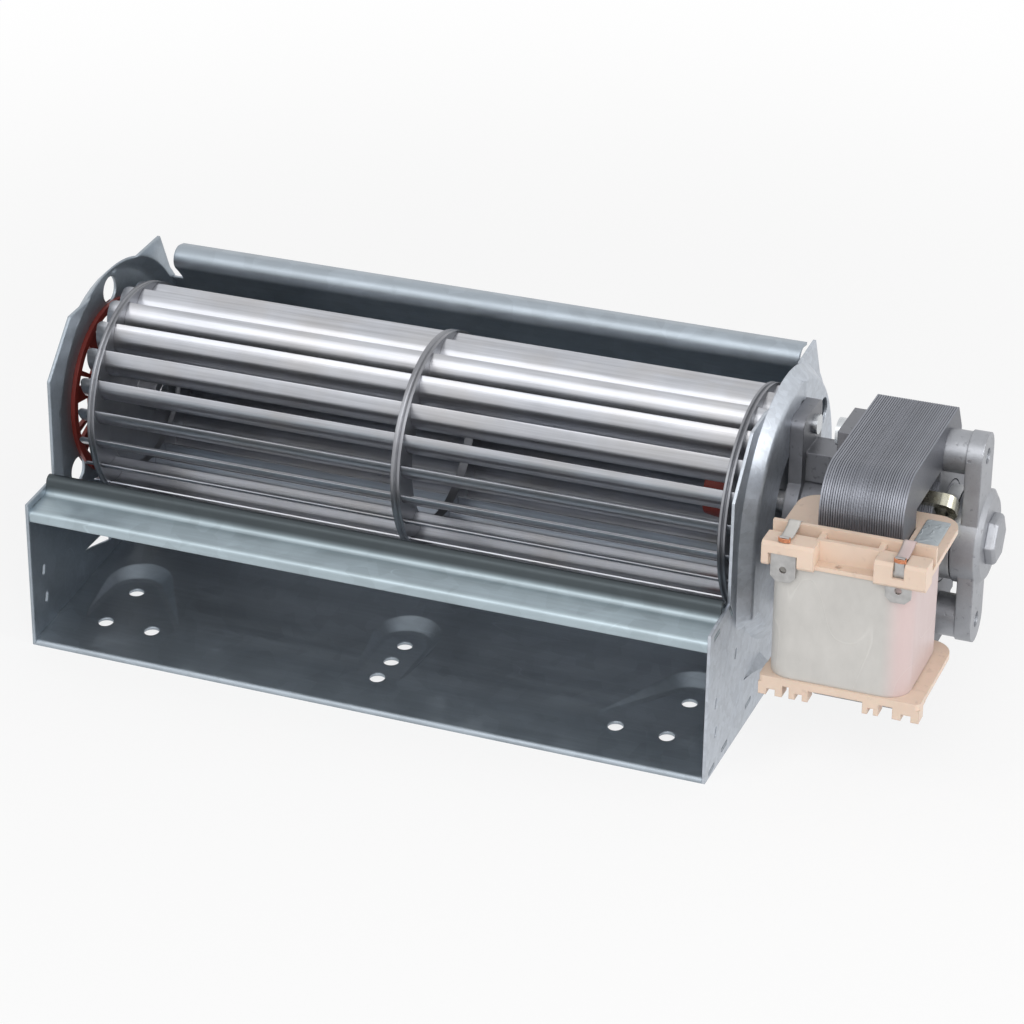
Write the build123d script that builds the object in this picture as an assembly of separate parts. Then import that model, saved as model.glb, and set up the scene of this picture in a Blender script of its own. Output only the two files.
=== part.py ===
from build123d import *
import os
from math import asin, atan2, cos, degrees, hypot, radians, sin, tan

os.makedirs("parts", exist_ok=True)

# The frame: X runs along the shaft with the motor at +X, the air outlet faces -Y and Z is up.
# The origin lies on the standing surface, under the shaft, midway between the side plates.
# All lengths are in millimetres and all angles in degrees.

# Fits between pieces
SLOT_GAP = 0.1
TAB_GAP = 0.25
SEAT_GAP = 0.02
RUNNING_GAP = 0.03
ROTOR_GAP = 0.35

# Impeller
IMPELLER_RADIUS = 30.0
IMPELLER_LENGTH = 180.0
BLADE_COUNT = 22
BLADE_THICKNESS = 0.4
BLADE_INSET = 0.8
BLADE_DEPTH = 6.6
BLADE_SWEEP = 11.0
BLADE_FIRST_ANGLE = 4.8
BLADE_STICK_OUT = 3.4
BLADE_CORNER = 1.5
RING_WIDTH = 2.0
MID_RING_WIDTH = 2.5
RING_GROOVE = 0.5
RING_INNER_EDGE = 1.0
DISC_WEB = 1.0
DISC_EYE_RADIUS = 8.0

# Housing of folded galvanised sheet
SHEET = 0.8
BLADE_END_GAP = 1.25
SCROLL_GAP = 10.0
SCROLL_BACK = -1.0
SCROLL_DROP = 4.0
SCROLL_END = 47.0
SCROLL_STAND = 8.5
LIP_HEIGHT = 1.3
FRONT_REACH = 57.0
FOLD_RADIUS = 1.2
TOP_ROLL_RADIUS = 3.5
TOP_ROLL_TURN = 147.0
TOP_FLANGE = 2.5
TOP_RELIEF = 3.6
TOP_RELIEF_TURN = 9.0
TAB_LENGTH = 4.0
FLOOR_TAB_SETBACKS = (5.0, 15.0, 34.0)
BACK_TAB_ANGLES = (-20.0, 14.0)

# Fixing pads pressed into the floor
PAD_STAND = 2.2
PAD_RADIUS = 6.0
PAD_DRAFT = 48.0
PAD_FOOT = 0.5
PAD_FOOT_DRAFT = 70.0
PAD_HOLE_RADIUS = 2.1
PAD_SIDE_MARGIN = 14.15
PAD_FRONT_MARGIN = 13.8
PAD_PITCH_X = 13.9
PAD_PITCH_Y = 17.7
PAD_MIDDLE_PITCH = 9.0

# Side plates, heights and depths from the shaft
PLATE_MOUTH_DROP = 11.0
PLATE_MOUTH_LEAN = 1.3
PLATE_RIM_FRONT = 10.0
PLATE_RIM_TOP = 5.0
PLATE_STEP_DROP = 9.5
PLATE_STEP_LEAN = 1.0
PLATE_NOSE_RISE = 18.0
PLATE_CROWN_REACH = 27.0
PLATE_CROWN_DROP = 3.5
PLATE_BACK_MARGIN = 0.6
PLATE_BACK_TOP_ANGLE = 42.0
PLATE_BACK_LOW_ANGLE = -60.0
DISH_MARGIN = 6.0
DISH_DEPTH = 3.4
DISH_DRAFT = 42.0
DISH_ROUND = 1.6
DISH_TOE_DROP = 21.0
DISH_TOE_DEPTH = 18.0
DISH_TOE_CORNER = 4.0
WINDOW_RADIUS = 3.7
WINDOW_CIRCLE = 27.8
RIGHT_WINDOWS = (36.0, -24.0, -84.0)
LEFT_WINDOWS = (88.0, 36.0, -24.0, -84.0, -144.0)
RIGHT_EYE_RADIUS = 18.0
LEFT_EYE_RADIUS = 22.5
PLATE_SLOT = 3.0
PLATE_SLOT_WIDTH = 1.2
PLATE_SLOT_LEAN = 75.0
PLATE_SLOTS = ((22.0, 26.5), (7.0, 33.0), (7.5, 41.5))
GAUGE_HOLE_RADIUS = 1.4
GAUGE_HOLE_INSET = 5.1
GAUGE_HOLE_RISE = 6.9

# Louvre lanced in each side plate: corners as (y, height from the shaft)
LOUVRE_FRONT = (-28.0, -38.2)
LOUVRE_BACK = (-14.3, -37.3)
LOUVRE_TIP = (-13.0, -41.8)
LOUVRE_TURN = 38.0

# Vortex tongue
TONGUE_LIP = 2.9
TONGUE_FRONT_BACK = 1.5
TONGUE_LIP_DROP = 13.0
TONGUE_VALLEY_Y = -46.3
TONGUE_VALLEY_DROP = 12.0
TONGUE_RIDGE_Y = -44.4
TONGUE_RIDGE_DROP = 5.0
TONGUE_HEEL_Y = -36.5
TONGUE_HEEL_DROP = 16.0
TONGUE_NOSE_GAP = 5.2
TONGUE_NOSE_DROP = 17.6
TONGUE_RIDGE_RADIUS = 1.8
TONGUE_TAB_PLACE = 0.6

# Left bearing
STUB_RADIUS = 2.5
STUB_HUB_RADIUS = 5.5
SHAFT_PROUD = 1.0
BUSH_WALL = 2.5
LEFT_BUSH_LENGTH = 7.0
MOUNT_WEB = 1.2
MOUNT_HUB_WALL = 3.0
MOUNT_RIM = 1.2
MOUNT_LIP = 1.2
MOUNT_LIP_REACH = 2.0
MOUNT_SECTORS = 8
MOUNT_OPENING_LOW = 13.5
MOUNT_LONG_OPENING = (127.0, 20.0)
MOUNT_SHORT_OPENING = (151.0, 8.0)

# Silicone coupling between the right disc and the motor shaft
COUPLING_INNER = 14.0
COUPLING_WALL = 3.5
COUPLING_FLANGE = 3.0
COUPLING_BEAD = 1.5

# Motor
SHAFT_RADIUS = 3.0
MOTOR_BUSH_LENGTH = 8.0
BUSH_CAP = 1.6
STACK_LENGTH = 21.0
STACK_SETBACK = 19.2
ROTOR_RADIUS = 13.0
CAGE_RING = 3.5
CAGE_EYE_RADIUS = 5.7
ROTOR_ROOM = 1.0
POLE_GAP = 0.15
STACK_TOP = 32.5
ARM_THICKNESS = 11.0
HEEL_THICKNESS = 10.0
HEEL_RADIUS = 9.0
LEG_FRONT = 45.0
LEG_DEPTH = 12.0
SHOULDER_RADIUS = 10.0
ARM_END_Y = 4.2
ARM_CHAMFER = (4.2, 7.0)
CLAMP_Y = -4.0
CLAMP_TOP_INSET = 8.0
CLAMP_LOW_INSET = 10.0
SCREW_RADIUS = 2.0
SCREW_HEAD = 2.4
SCREW_HEAD_RADIUS = 3.6
SHADING_BAR = (3.2, 2.2)
SHADING_STAND_OUT = 4.2
SHADING_CORNER = 3.4
SHADING_ANGLES = (134.0, 154.0, 314.0, 334.0)
POLE_SPLIT = 2.0

# Motor brackets
BRACKET_FOOT = 3.6
BRACKET_HUB_RADIUS = 9.5
BRACKET_FLANGE = 2.0
BRACKET_FOOT_Y = (-7.0, 9.0)
BRACKET_CORNER = 3.0
BRIDGE_Y = (-4.0, 6.0)
BRIDGE_TOP = 17.0
BRIDGE_BOTTOM = 9.0
CLAMP_PAD = 5.0
CLAMP_PAD_Y = (-13.5, 1.5)
CLAMP_PAD_EDGE = 4.5
OUTER_POST_RADIUS = 5.5
OUTER_POST = 5.8
OUTER_ARM = 4.2
OUTER_ARM_EDGE = 0.5
OUTER_HUB_RADIUS = 12.4
HUB_INNER_STEP = 1.9
HUB_OUTER_STEP = 1.2
HUB_TAPER = 1.8
HEX_ACROSS = 11.0
HEX_LENGTH = 2.6
HEX_EDGE = 0.6
RIVET_RADIUS = 1.5
RIVET_HEAD_RADIUS = 2.6
RIVET_HEAD = 1.2
RIVET_HEIGHT = 22.0
RIVET_Y = 3.0

# Coil on its moulded bobbin, heights from its deck and depths from its front edge
BOBBIN_WALL = 1.2
BOBBIN_GAP = 0.2
DECK_DROP = 5.0
BOBBIN_LIFT = 1.8
FLANGE = 1.5
FLANGE_LENGTH = 40.4
FLANGE_FRONT = 12.0
FLANGE_BACK = 8.6
FLANGE_CORNER = 6.0
RAIL_SETBACK = 7.0
RAIL_RISE = 4.7
WALL_SETBACK = 3.0
WALL_RISE = 3.5
LEDGE_DROP = 2.0
PEEP_HOLE_RADIUS = 0.8
PEEP_HOLE_PLACE = (-2.0, 1.6)
RIBS_X = (-7.3, 7.5)
RIB_WIDTH = 1.5
BLOCK_REACH = 2.0
BLOCK_RISE = 3.3
BLOCK_EDGE = 0.8
LEFT_BLOCK = 12.6
RIGHT_BLOCK = 13.4
BLOCK_SPLIT = 2.8
BLOCK_FLOOR = 1.5
COIL_SIDE_MARGIN = 1.3
COIL_END_MARGIN = 3.8
COIL_FRONT_MARGIN = 0.6
COIL_FOOT_GAP = 0.3
COIL_CORNER = 6.0
TAPE = 0.4
TERMINAL_WIDTH = 6.3
TERMINAL_THICKNESS = 0.8
TERMINAL_STEM = 2.4
TERMINAL_SETBACK = 0.7
TERMINAL_SHIFT = 1.0
TERMINAL_RISE = 4.7
TERMINAL_DROP = 7.3
TERMINAL_SHOULDER = 1.0
TERMINAL_TIP = 1.4
TERMINAL_EYE = 3.2
TERMINAL_EYE_RADIUS = 0.9
FEET = ((-20.2, 6.1), (-12.4, 4.8), (6.1, 4.0), (13.6, 6.6))
FOOT_DROP = 3.4
FOOT_DEPTH = 4.0
FOOT_NOTCH = (0.33, 0.7)

# Places that follow from the sizes above
HALF_INNER = IMPELLER_LENGTH / 2 + BLADE_STICK_OUT + BLADE_END_GAP
HALF_OUTER = HALF_INNER + SHEET
DISH_FACE = HALF_OUTER + DISH_DEPTH
SCROLL_RADIUS = IMPELLER_RADIUS + SCROLL_GAP
AXIS_HEIGHT = SCROLL_STAND + SCROLL_RADIUS + SCROLL_DROP
SCROLL_CENTRE = (SCROLL_BACK, AXIS_HEIGHT - SCROLL_DROP)
STACK_LOW = DISH_FACE + STACK_SETBACK
STACK_HIGH = STACK_LOW + STACK_LENGTH
STACK_MIDDLE = (STACK_LOW + STACK_HIGH) / 2
ARM_UNDERSIDE = STACK_TOP - ARM_THICKNESS
STACK_DROP = ARM_UNDERSIDE + HEEL_THICKNESS
BLADE_END = IMPELLER_LENGTH / 2 + BLADE_STICK_OUT
FULL_TURN = 360.0


def section(outline, x_low, x_high):
    """Solid with a (y, z) outline between two places along the shaft."""
    return extrude(Plane.YZ.offset(x_low) * outline, x_high - x_low)


def bar(radius, x_low, x_high, y=0.0, height=0.0):
    """Round bar along X; height is counted from the shaft."""
    return section(Pos(y, AXIS_HEIGHT + height) * Circle(radius), x_low, x_high)


def block(x_span, y_span, z_span):
    """Box between pairs of limits; z limits are counted from the shaft."""
    size = [high - low for low, high in (x_span, y_span, z_span)]
    middle = [(low + high) / 2 for low, high in (x_span, y_span, z_span)]
    return Pos(middle[0], middle[1], middle[2] + AXIS_HEIGHT) * Box(*size)


def turned(points):
    """Solid of revolution about the shaft from (x, radius) points."""
    profile = make_face(Polyline(*points, close=True))
    return Pos(0, 0, AXIS_HEIGHT) * revolve(Plane.XZ * profile, Axis.X, FULL_TURN)


def folded(path):
    """Outline of a folded sheet whose visible face follows the path."""
    return make_face(path.offset_2d(SHEET, side=Side.RIGHT, closed=True))


def save(shape, name):
    export_step(shape, f"parts/{name}.step")


# Folded scroll: front lip, sloping floor, round back wall and rolled top flange
LIP_TO_CENTRE = (SCROLL_CENTRE[0] + FRONT_REACH, SCROLL_CENTRE[1] - LIP_HEIGHT)
CENTRE_RISE = degrees(atan2(LIP_TO_CENTRE[1], LIP_TO_CENTRE[0]))
FLOOR_RISE = CENTRE_RISE - degrees(asin(SCROLL_RADIUS / hypot(*LIP_TO_CENTRE)))
FLOOR_TANGENT_Y = SCROLL_BACK + SCROLL_RADIUS * sin(radians(FLOOR_RISE))
FLOOR_TANGENT_Z = SCROLL_CENTRE[1] - SCROLL_RADIUS * cos(radians(FLOOR_RISE))


def floor_top(y):
    """Height of the sloping floor, tangent to the round wall and level with the lip."""
    return FLOOR_TANGENT_Z + (y - FLOOR_TANGENT_Y) * tan(radians(FLOOR_RISE))


def floor_tab_places():
    """Middle of each tab in the floor and back wall: (y, z, lean of the sheet)."""
    half = SHEET / 2
    lean = radians(FLOOR_RISE)
    places = []
    for setback in FLOOR_TAB_SETBACKS:
        y = setback - FRONT_REACH
        places.append((y + half * sin(lean), floor_top(y) - half * cos(lean), FLOOR_RISE))
    middle = SCROLL_RADIUS + half
    for angle in BACK_TAB_ANGLES:
        turn = radians(angle)
        y = SCROLL_CENTRE[0] + middle * cos(turn)
        z = SCROLL_CENTRE[1] + middle * sin(turn)
        places.append((y, z, angle + 90.0))
    return places


def tab(place, x_low, x_high, grow=0.0):
    """Tab that passes through a side plate, or its slot when it is grown."""
    y, z, lean = place
    outline = Rectangle(TAB_LENGTH + 2 * grow, SHEET + 2 * grow)
    return section(Pos(y, z) * Rot(0, 0, lean) * outline, x_low, x_high)


def scroll_path():
    lip_foot = (-FRONT_REACH, 0)
    lip_top = (-FRONT_REACH, LIP_HEIGHT)
    floor_end = (FLOOR_TANGENT_Y, FLOOR_TANGENT_Z)
    floor = FilletPolyline(lip_foot, lip_top, floor_end, radius=FOLD_RADIUS)
    wall = CenterArc(SCROLL_CENTRE, SCROLL_RADIUS, FLOOR_RISE - 90, 90 - FLOOR_RISE + SCROLL_END)
    reach = SCROLL_RADIUS + TOP_ROLL_RADIUS
    roll_centre = (
        SCROLL_CENTRE[0] + reach * cos(radians(SCROLL_END)),
        SCROLL_CENTRE[1] + reach * sin(radians(SCROLL_END)),
    )
    roll = CenterArc(roll_centre, TOP_ROLL_RADIUS, 180 + SCROLL_END, -TOP_ROLL_TURN)
    flange = Line(roll @ 1, (roll @ 1) + (roll % 1) * TOP_FLANGE)
    return Wire([*floor.edges(), *wall.edges(), *roll.edges(), *flange.edges()])


def pad_holes():
    """Fixing holes of each floor pad, as (x, y)."""
    x_outer = HALF_INNER - PAD_SIDE_MARGIN
    x_inner = x_outer - PAD_PITCH_X
    y_front = PAD_FRONT_MARGIN - FRONT_REACH
    y_back = y_front + PAD_PITCH_Y
    side = [(x_outer, y_back), (x_outer, y_front), (x_inner, y_front)]
    other = [(-x, y) for x, y in side]
    y_middle = (y_back + y_front) / 2
    middle = [(0, y_middle + step * PAD_MIDDLE_PITCH) for step in (-1, 0, 1)]
    return [side, other, middle]


def pad_form(holes):
    """Pressed form of one pad: a flat round its holes, a gentle foot and sloping walls."""
    rims = [Pos(x, y) * Circle(PAD_RADIUS) for x, y in holes]
    flat = make_hull([edge for rim in rims for edge in rim.edges()])
    foot = extrude(flat, PAD_FOOT, taper=-PAD_FOOT_DRAFT)
    walls = extrude(foot.faces().sort_by(Axis.Z)[-1], FLOOR_TANGENT_Z, taper=-PAD_DRAFT)
    return Pos(0, 0, PAD_STAND) * (foot + walls)


def scroll_housing():
    shell = section(folded(scroll_path()), -HALF_INNER, HALF_INNER)
    back = SCROLL_RADIUS + FRONT_REACH
    under_floor = Polyline(
        (-FRONT_REACH + FOLD_RADIUS, 0),
        (back, 0),
        (back, floor_top(back)),
        (-FRONT_REACH + FOLD_RADIUS, floor_top(-FRONT_REACH + FOLD_RADIUS)),
        close=True,
    )
    below = section(make_face(under_floor), -HALF_INNER, HALF_INNER)
    for holes in pad_holes():
        form = pad_form(holes)
        shell = shell + (form & below) - Pos(0, 0, SHEET) * form
        for x, y in holes:
            shell -= Pos(x, y, PAD_STAND) * Cylinder(PAD_HOLE_RADIUS, 4 * SHEET)
    relief_low = SCROLL_RADIUS * sin(radians(SCROLL_END - TOP_RELIEF_TURN)) - SCROLL_DROP
    for end in (-1, 1):
        inner = end * (HALF_INNER - TOP_RELIEF)
        span = sorted((inner, 2 * end * HALF_INNER))
        shell -= block(span, (0, back), (relief_low, relief_low + SCROLL_RADIUS))
    for place in floor_tab_places():
        for span in ((-HALF_OUTER, -HALF_INNER), (HALF_INNER, HALF_OUTER)):
            shell += tab(place, *span)
    return shell


# Vortex tongue: one folded strip between the impeller and the outlet
TONGUE_FRONT_Y = TONGUE_FRONT_BACK - FRONT_REACH
TONGUE_NOSE_Y = -(IMPELLER_RADIUS**2 - TONGUE_NOSE_DROP**2) ** 0.5 - TONGUE_NOSE_GAP


def tongue_path():
    points = [
        (TONGUE_FRONT_Y, -TONGUE_LIP_DROP - TONGUE_LIP),
        (TONGUE_FRONT_Y, -TONGUE_LIP_DROP),
        (TONGUE_VALLEY_Y, -TONGUE_VALLEY_DROP),
        (TONGUE_RIDGE_Y, -TONGUE_RIDGE_DROP),
        (TONGUE_HEEL_Y, -TONGUE_HEEL_DROP),
        (TONGUE_NOSE_Y, -TONGUE_NOSE_DROP),
    ]
    radii = [FOLD_RADIUS, 2 * SHEET, TONGUE_RIDGE_RADIUS, 2 * FOLD_RADIUS]
    line = FilletPolyline(*[(y, AXIS_HEIGHT + z) for y, z in points], radius=radii)
    return Wire(line.edges())


def tongue_tab_places():
    """Tab in the front panel of the tongue and tab in its back slope."""
    valley = Vector(TONGUE_VALLEY_Y, AXIS_HEIGHT - TONGUE_VALLEY_DROP)
    lip = Vector(TONGUE_FRONT_Y, AXIS_HEIGHT - TONGUE_LIP_DROP)
    ridge = Vector(TONGUE_RIDGE_Y, AXIS_HEIGHT - TONGUE_RIDGE_DROP)
    heel = Vector(TONGUE_HEEL_Y, AXIS_HEIGHT - TONGUE_HEEL_DROP)
    places = []
    for start, end, share in ((lip, valley, 0.5), (ridge, heel, TONGUE_TAB_PLACE)):
        along = (end - start).normalized()
        middle = start + (end - start) * share + along.rotate(Axis.Z, -90) * (SHEET / 2)
        places.append((middle.X, middle.Y, degrees(atan2(along.Y, along.X))))
    return places


def vortex_tongue():
    strip = section(folded(tongue_path()), -HALF_INNER, HALF_INNER)
    for place in tongue_tab_places():
        for span in ((-HALF_OUTER, -HALF_INNER), (HALF_INNER, HALF_OUTER)):
            strip += tab(place, *span)
    return strip


# Side plates: pressed sheets that close the scroll and carry the bearings
def plate_outline():
    back_radius = SCROLL_RADIUS + SHEET + PLATE_BACK_MARGIN
    sweep = PLATE_BACK_LOW_ANGLE - PLATE_BACK_TOP_ANGLE
    back = CenterArc(SCROLL_CENTRE, back_radius, PLATE_BACK_TOP_ANGLE, sweep)
    rim_front = -IMPELLER_RADIUS - PLATE_RIM_FRONT
    rim_top = IMPELLER_RADIUS + PLATE_RIM_TOP
    corner_y = (back @ 0).X - PLATE_RIM_TOP
    edges = Polyline(
        ((back @ 1).X, (back @ 1).Y),
        ((back @ 1).X, 0),
        (-FRONT_REACH, 0),
        (PLATE_MOUTH_LEAN - FRONT_REACH, AXIS_HEIGHT - PLATE_MOUTH_DROP),
        (rim_front - PLATE_STEP_LEAN, AXIS_HEIGHT - PLATE_STEP_DROP),
        (rim_front, AXIS_HEIGHT + PLATE_NOSE_RISE),
        (-PLATE_CROWN_REACH, AXIS_HEIGHT + rim_top - PLATE_CROWN_DROP),
        (corner_y, AXIS_HEIGHT + rim_top),
        ((back @ 0).X, (back @ 0).Y),
    )
    return make_face([*back.edges(), *edges.edges()])


def dish_outline():
    """Round drawn field with a squared toe at its lower front."""
    radius = IMPELLER_RADIUS + DISH_MARGIN
    toe = RectangleRounded(DISH_TOE_DEPTH, DISH_TOE_DROP, DISH_TOE_CORNER)
    toe_place = Pos(DISH_TOE_DEPTH / 2 - radius, AXIS_HEIGHT - DISH_TOE_DROP / 2)
    return Pos(0, AXIS_HEIGHT) * Circle(radius) + toe_place * toe


def dish():
    """Outer form of the drawn field, with a sloping wall and a rounded rim."""
    foot = Plane.YZ.offset(HALF_OUTER) * dish_outline()
    form = extrude(foot, DISH_DEPTH, taper=DISH_DRAFT)
    face = form.faces().sort_by(Axis.X)[-1]
    return fillet(face.edges(), DISH_ROUND)


def louvre():
    """Triangular window lanced in a side plate and the flap bent inwards from it."""
    corners = [(y, AXIS_HEIGHT + z) for y, z in (LOUVRE_FRONT, LOUVRE_BACK, LOUVRE_TIP)]
    triangle = make_face(Polyline(*corners, close=True))
    window = section(triangle, HALF_INNER - SHEET, HALF_OUTER + SHEET)
    flap = section(triangle, HALF_INNER, HALF_OUTER)
    front, back = Vector(*corners[0]), Vector(*corners[1])
    hinge = Axis((HALF_INNER, front.X, front.Y), (0, back.X - front.X, back.Y - front.Y))
    return window, flap.rotate(hinge, -LOUVRE_TURN)


def side_plate(eye_radius, windows):
    """Right-hand plate; the left one is its mirror image with another eye."""
    plate = section(plate_outline(), HALF_INNER, HALF_OUTER)
    form = dish()
    plate = plate + form - Pos(-SHEET, 0, 0) * form
    plate -= bar(eye_radius, HALF_INNER, DISH_FACE + SHEET)
    for angle in windows:
        y = WINDOW_CIRCLE * cos(radians(angle))
        height = WINDOW_CIRCLE * sin(radians(angle))
        plate -= bar(WINDOW_RADIUS, HALF_INNER, DISH_FACE + SHEET, y, height)
    through = (HALF_INNER - SHEET, HALF_OUTER + SHEET)
    for place in floor_tab_places() + tongue_tab_places():
        plate -= tab(place, *through, grow=TAB_GAP)
    for setback, drop in PLATE_SLOTS:
        outline = Rot(0, 0, PLATE_SLOT_LEAN) * SlotOverall(PLATE_SLOT, PLATE_SLOT_WIDTH)
        plate -= section(Pos(setback - FRONT_REACH, AXIS_HEIGHT - drop) * outline, *through)
    window, flap = louvre()
    return plate - window + flap


def right_side_plate():
    plate = side_plate(RIGHT_EYE_RADIUS, RIGHT_WINDOWS)
    through = (DISH_FACE - 2 * SHEET, DISH_FACE + SHEET)
    for side in (-1, 1):
        plate -= bar(RIVET_RADIUS + SLOT_GAP, *through, RIVET_Y, side * RIVET_HEIGHT)
    return plate


def left_side_plate():
    plate = side_plate(LEFT_EYE_RADIUS, LEFT_WINDOWS)
    hole_y = GAUGE_HOLE_INSET - IMPELLER_RADIUS - PLATE_RIM_FRONT
    plate -= bar(GAUGE_HOLE_RADIUS, HALF_INNER - SHEET, HALF_OUTER + SHEET, hole_y, GAUGE_HOLE_RISE)
    return plate.mirror(Plane.YZ)


# Left bearing: a sintered bush held in a slotted silicone disc
LEFT_DISH_INNER = -(HALF_INNER + DISH_DEPTH)
LEFT_DISH_OUTER = -DISH_FACE
BUSH_OUTER = STUB_RADIUS + RUNNING_GAP + BUSH_WALL
LEFT_BUSH_MIDDLE = (LEFT_DISH_INNER + LEFT_DISH_OUTER) / 2


def left_bearing_bush():
    low = LEFT_BUSH_MIDDLE - LEFT_BUSH_LENGTH / 2
    high = LEFT_BUSH_MIDDLE + LEFT_BUSH_LENGTH / 2
    return bar(BUSH_OUTER, low, high) - bar(STUB_RADIUS + RUNNING_GAP, low, high)


def sector(r_low, r_high, start, turn):
    """Part of a flat ring between two radii, from a starting angle through a turn."""
    inner = CenterArc((0, 0), r_low, start, turn)
    outer = CenterArc((0, 0), r_high, start, turn)
    ends = [Line(inner @ end, outer @ end) for end in (0, 1)]
    return make_face([*inner.edges(), *outer.edges(), *ends[0].edges(), *ends[1].edges()])


def left_bearing_mount():
    """Spoked disc with a hub round the bush and a grooved rim that grips the plate's eye."""
    hub = BUSH_OUTER + SEAT_GAP
    boss = hub + MOUNT_HUB_WALL
    hub_low = LEFT_BUSH_MIDDLE - LEFT_BUSH_LENGTH / 2
    hub_high = LEFT_BUSH_MIDDLE + LEFT_BUSH_LENGTH / 2
    web_low = LEFT_BUSH_MIDDLE - MOUNT_WEB / 2
    web_high = LEFT_BUSH_MIDDLE + MOUNT_WEB / 2
    seat = LEFT_EYE_RADIUS - SEAT_GAP
    lip = seat + MOUNT_LIP_REACH
    rim = seat - MOUNT_RIM
    inner_face = LEFT_DISH_INNER + SEAT_GAP
    outer_face = LEFT_DISH_OUTER - SEAT_GAP
    disc = turned(
        [
            (hub_low, hub),
            (hub_high, hub),
            (hub_high, boss),
            (web_high, boss + MOUNT_LIP),
            (web_high, rim),
            (inner_face + MOUNT_LIP, seat),
            (inner_face + MOUNT_LIP, lip),
            (inner_face, lip),
            (inner_face, seat),
            (outer_face, seat),
            (outer_face, lip),
            (outer_face - MOUNT_LIP, seat),
            (web_low, rim),
            (web_low, boss + MOUNT_LIP),
            (hub_low, boss),
        ]
    )
    for step in range(MOUNT_SECTORS):
        turn = Pos(0, AXIS_HEIGHT) * Rot(0, 0, FULL_TURN * step / MOUNT_SECTORS)
        for start, length in (MOUNT_LONG_OPENING, MOUNT_SHORT_OPENING):
            opening = turn * sector(MOUNT_OPENING_LOW, rim, start, length)
            disc -= section(opening, web_low - SHEET, web_high + SHEET)
    return disc


# Impeller: curved blades pushed through slotted discs
BLADE_OUTER = IMPELLER_RADIUS - BLADE_INSET
BLADE_INNER = BLADE_OUTER - BLADE_DEPTH


def blade_outline(grow=0.0):
    """Curved blade section at angle zero, hollow side towards falling angles."""
    outer = Vector(BLADE_OUTER, 0)
    inner = Vector(BLADE_INNER, 0).rotate(Axis.Z, BLADE_SWEEP)
    chord = outer - inner
    turn = 2 * (inner.get_signed_angle(chord, Vector(0, 0, 1)))
    radius = abs(chord.length / 2 / sin(radians(turn / 2)))
    to_centre = chord.normalized().rotate(Axis.Z, -90) * (radius * cos(radians(turn / 2)))
    centre = (outer + inner) * 0.5 + to_centre
    start = Axis.X.direction.get_signed_angle(inner - centre, Vector(0, 0, 1))
    extra = degrees(grow / radius)
    half = BLADE_THICKNESS / 2 + grow
    sweep = -abs(turn) - 2 * extra
    hollow = CenterArc((centre.X, centre.Y), radius - half, start + extra, sweep)
    round_side = CenterArc((centre.X, centre.Y), radius + half, start + extra, sweep)
    ends = [Line(hollow @ end, round_side @ end) for end in (0, 1)]
    return make_face([*hollow.edges(), *round_side.edges(), *ends[0].edges(), *ends[1].edges()])


def blade_angles():
    return [BLADE_FIRST_ANGLE + FULL_TURN * step / BLADE_COUNT for step in range(BLADE_COUNT)]


def around(outline):
    """Copies of an outline drawn at angle zero, one at each blade."""
    centre = Pos(0, AXIS_HEIGHT)
    return [centre * Rot(0, 0, angle) * outline for angle in blade_angles()]


def blade():
    """Curved strip with rounded corners, lying along the X axis at angle zero."""
    strip = section(blade_outline(), -BLADE_END, BLADE_END)
    faces = strip.faces().sort_by(Axis.X)
    ends = [faces[0], faces[-1]]
    corners = [edge for face in ends for edge in face.edges().filter_by(GeomType.LINE)]
    return fillet(corners, BLADE_CORNER)


def slotted(ring, x_low, x_high):
    for outline in around(blade_outline(SLOT_GAP)):
        ring -= section(outline, x_low - SHEET, x_high + SHEET)
    return ring


def ring_rim(x_low, x_high):
    """Points of a rim with a shallow groove rolled into its outer face."""
    middle = (x_low + x_high) / 2
    half = (x_high - x_low) / 5
    low = IMPELLER_RADIUS - RING_GROOVE
    return [
        (x_low, IMPELLER_RADIUS),
        (middle - half, IMPELLER_RADIUS),
        (middle, low),
        (middle + half, IMPELLER_RADIUS),
        (x_high, IMPELLER_RADIUS),
    ]


def mid_ring():
    low, high = -MID_RING_WIDTH / 2, MID_RING_WIDTH / 2
    inner = BLADE_INNER - RING_INNER_EDGE
    ring = turned([(low, inner)] + ring_rim(low, high) + [(high, inner)])
    return slotted(ring, low, high)


def end_disc(eye_radius):
    """Left-hand disc; its outer face is at the low end of the impeller."""
    low = -IMPELLER_LENGTH / 2
    high = low + RING_WIDTH
    inner = BLADE_INNER - RING_INNER_EDGE
    web = low + DISC_WEB
    web_edge = [(high, inner), (web, inner - DISC_WEB), (web, eye_radius)]
    disc = turned([(low, eye_radius)] + ring_rim(low, high) + web_edge)
    return slotted(disc, low, high)


STUB_HUB_HIGH = -IMPELLER_LENGTH / 2 + 3 * STUB_RADIUS


def left_end_disc():
    web = DISC_WEB - IMPELLER_LENGTH / 2
    eye = STUB_RADIUS + SEAT_GAP
    hub = turned(
        [
            (web, eye),
            (web, 2 * STUB_HUB_RADIUS),
            (web + DISC_WEB, STUB_HUB_RADIUS),
            (STUB_HUB_HIGH, STUB_HUB_RADIUS),
            (STUB_HUB_HIGH, eye),
        ]
    )
    return end_disc(eye) + hub


def right_end_disc():
    return end_disc(DISC_EYE_RADIUS).mirror(Plane.YZ)


def stub_shaft():
    low = LEFT_BUSH_MIDDLE - LEFT_BUSH_LENGTH / 2 - SHAFT_PROUD
    return chamfer(bar(STUB_RADIUS, low, STUB_HUB_HIGH).edges(), STUB_RADIUS / 8)


# Silicone hub that carries the right-hand disc on the motor shaft

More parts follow.
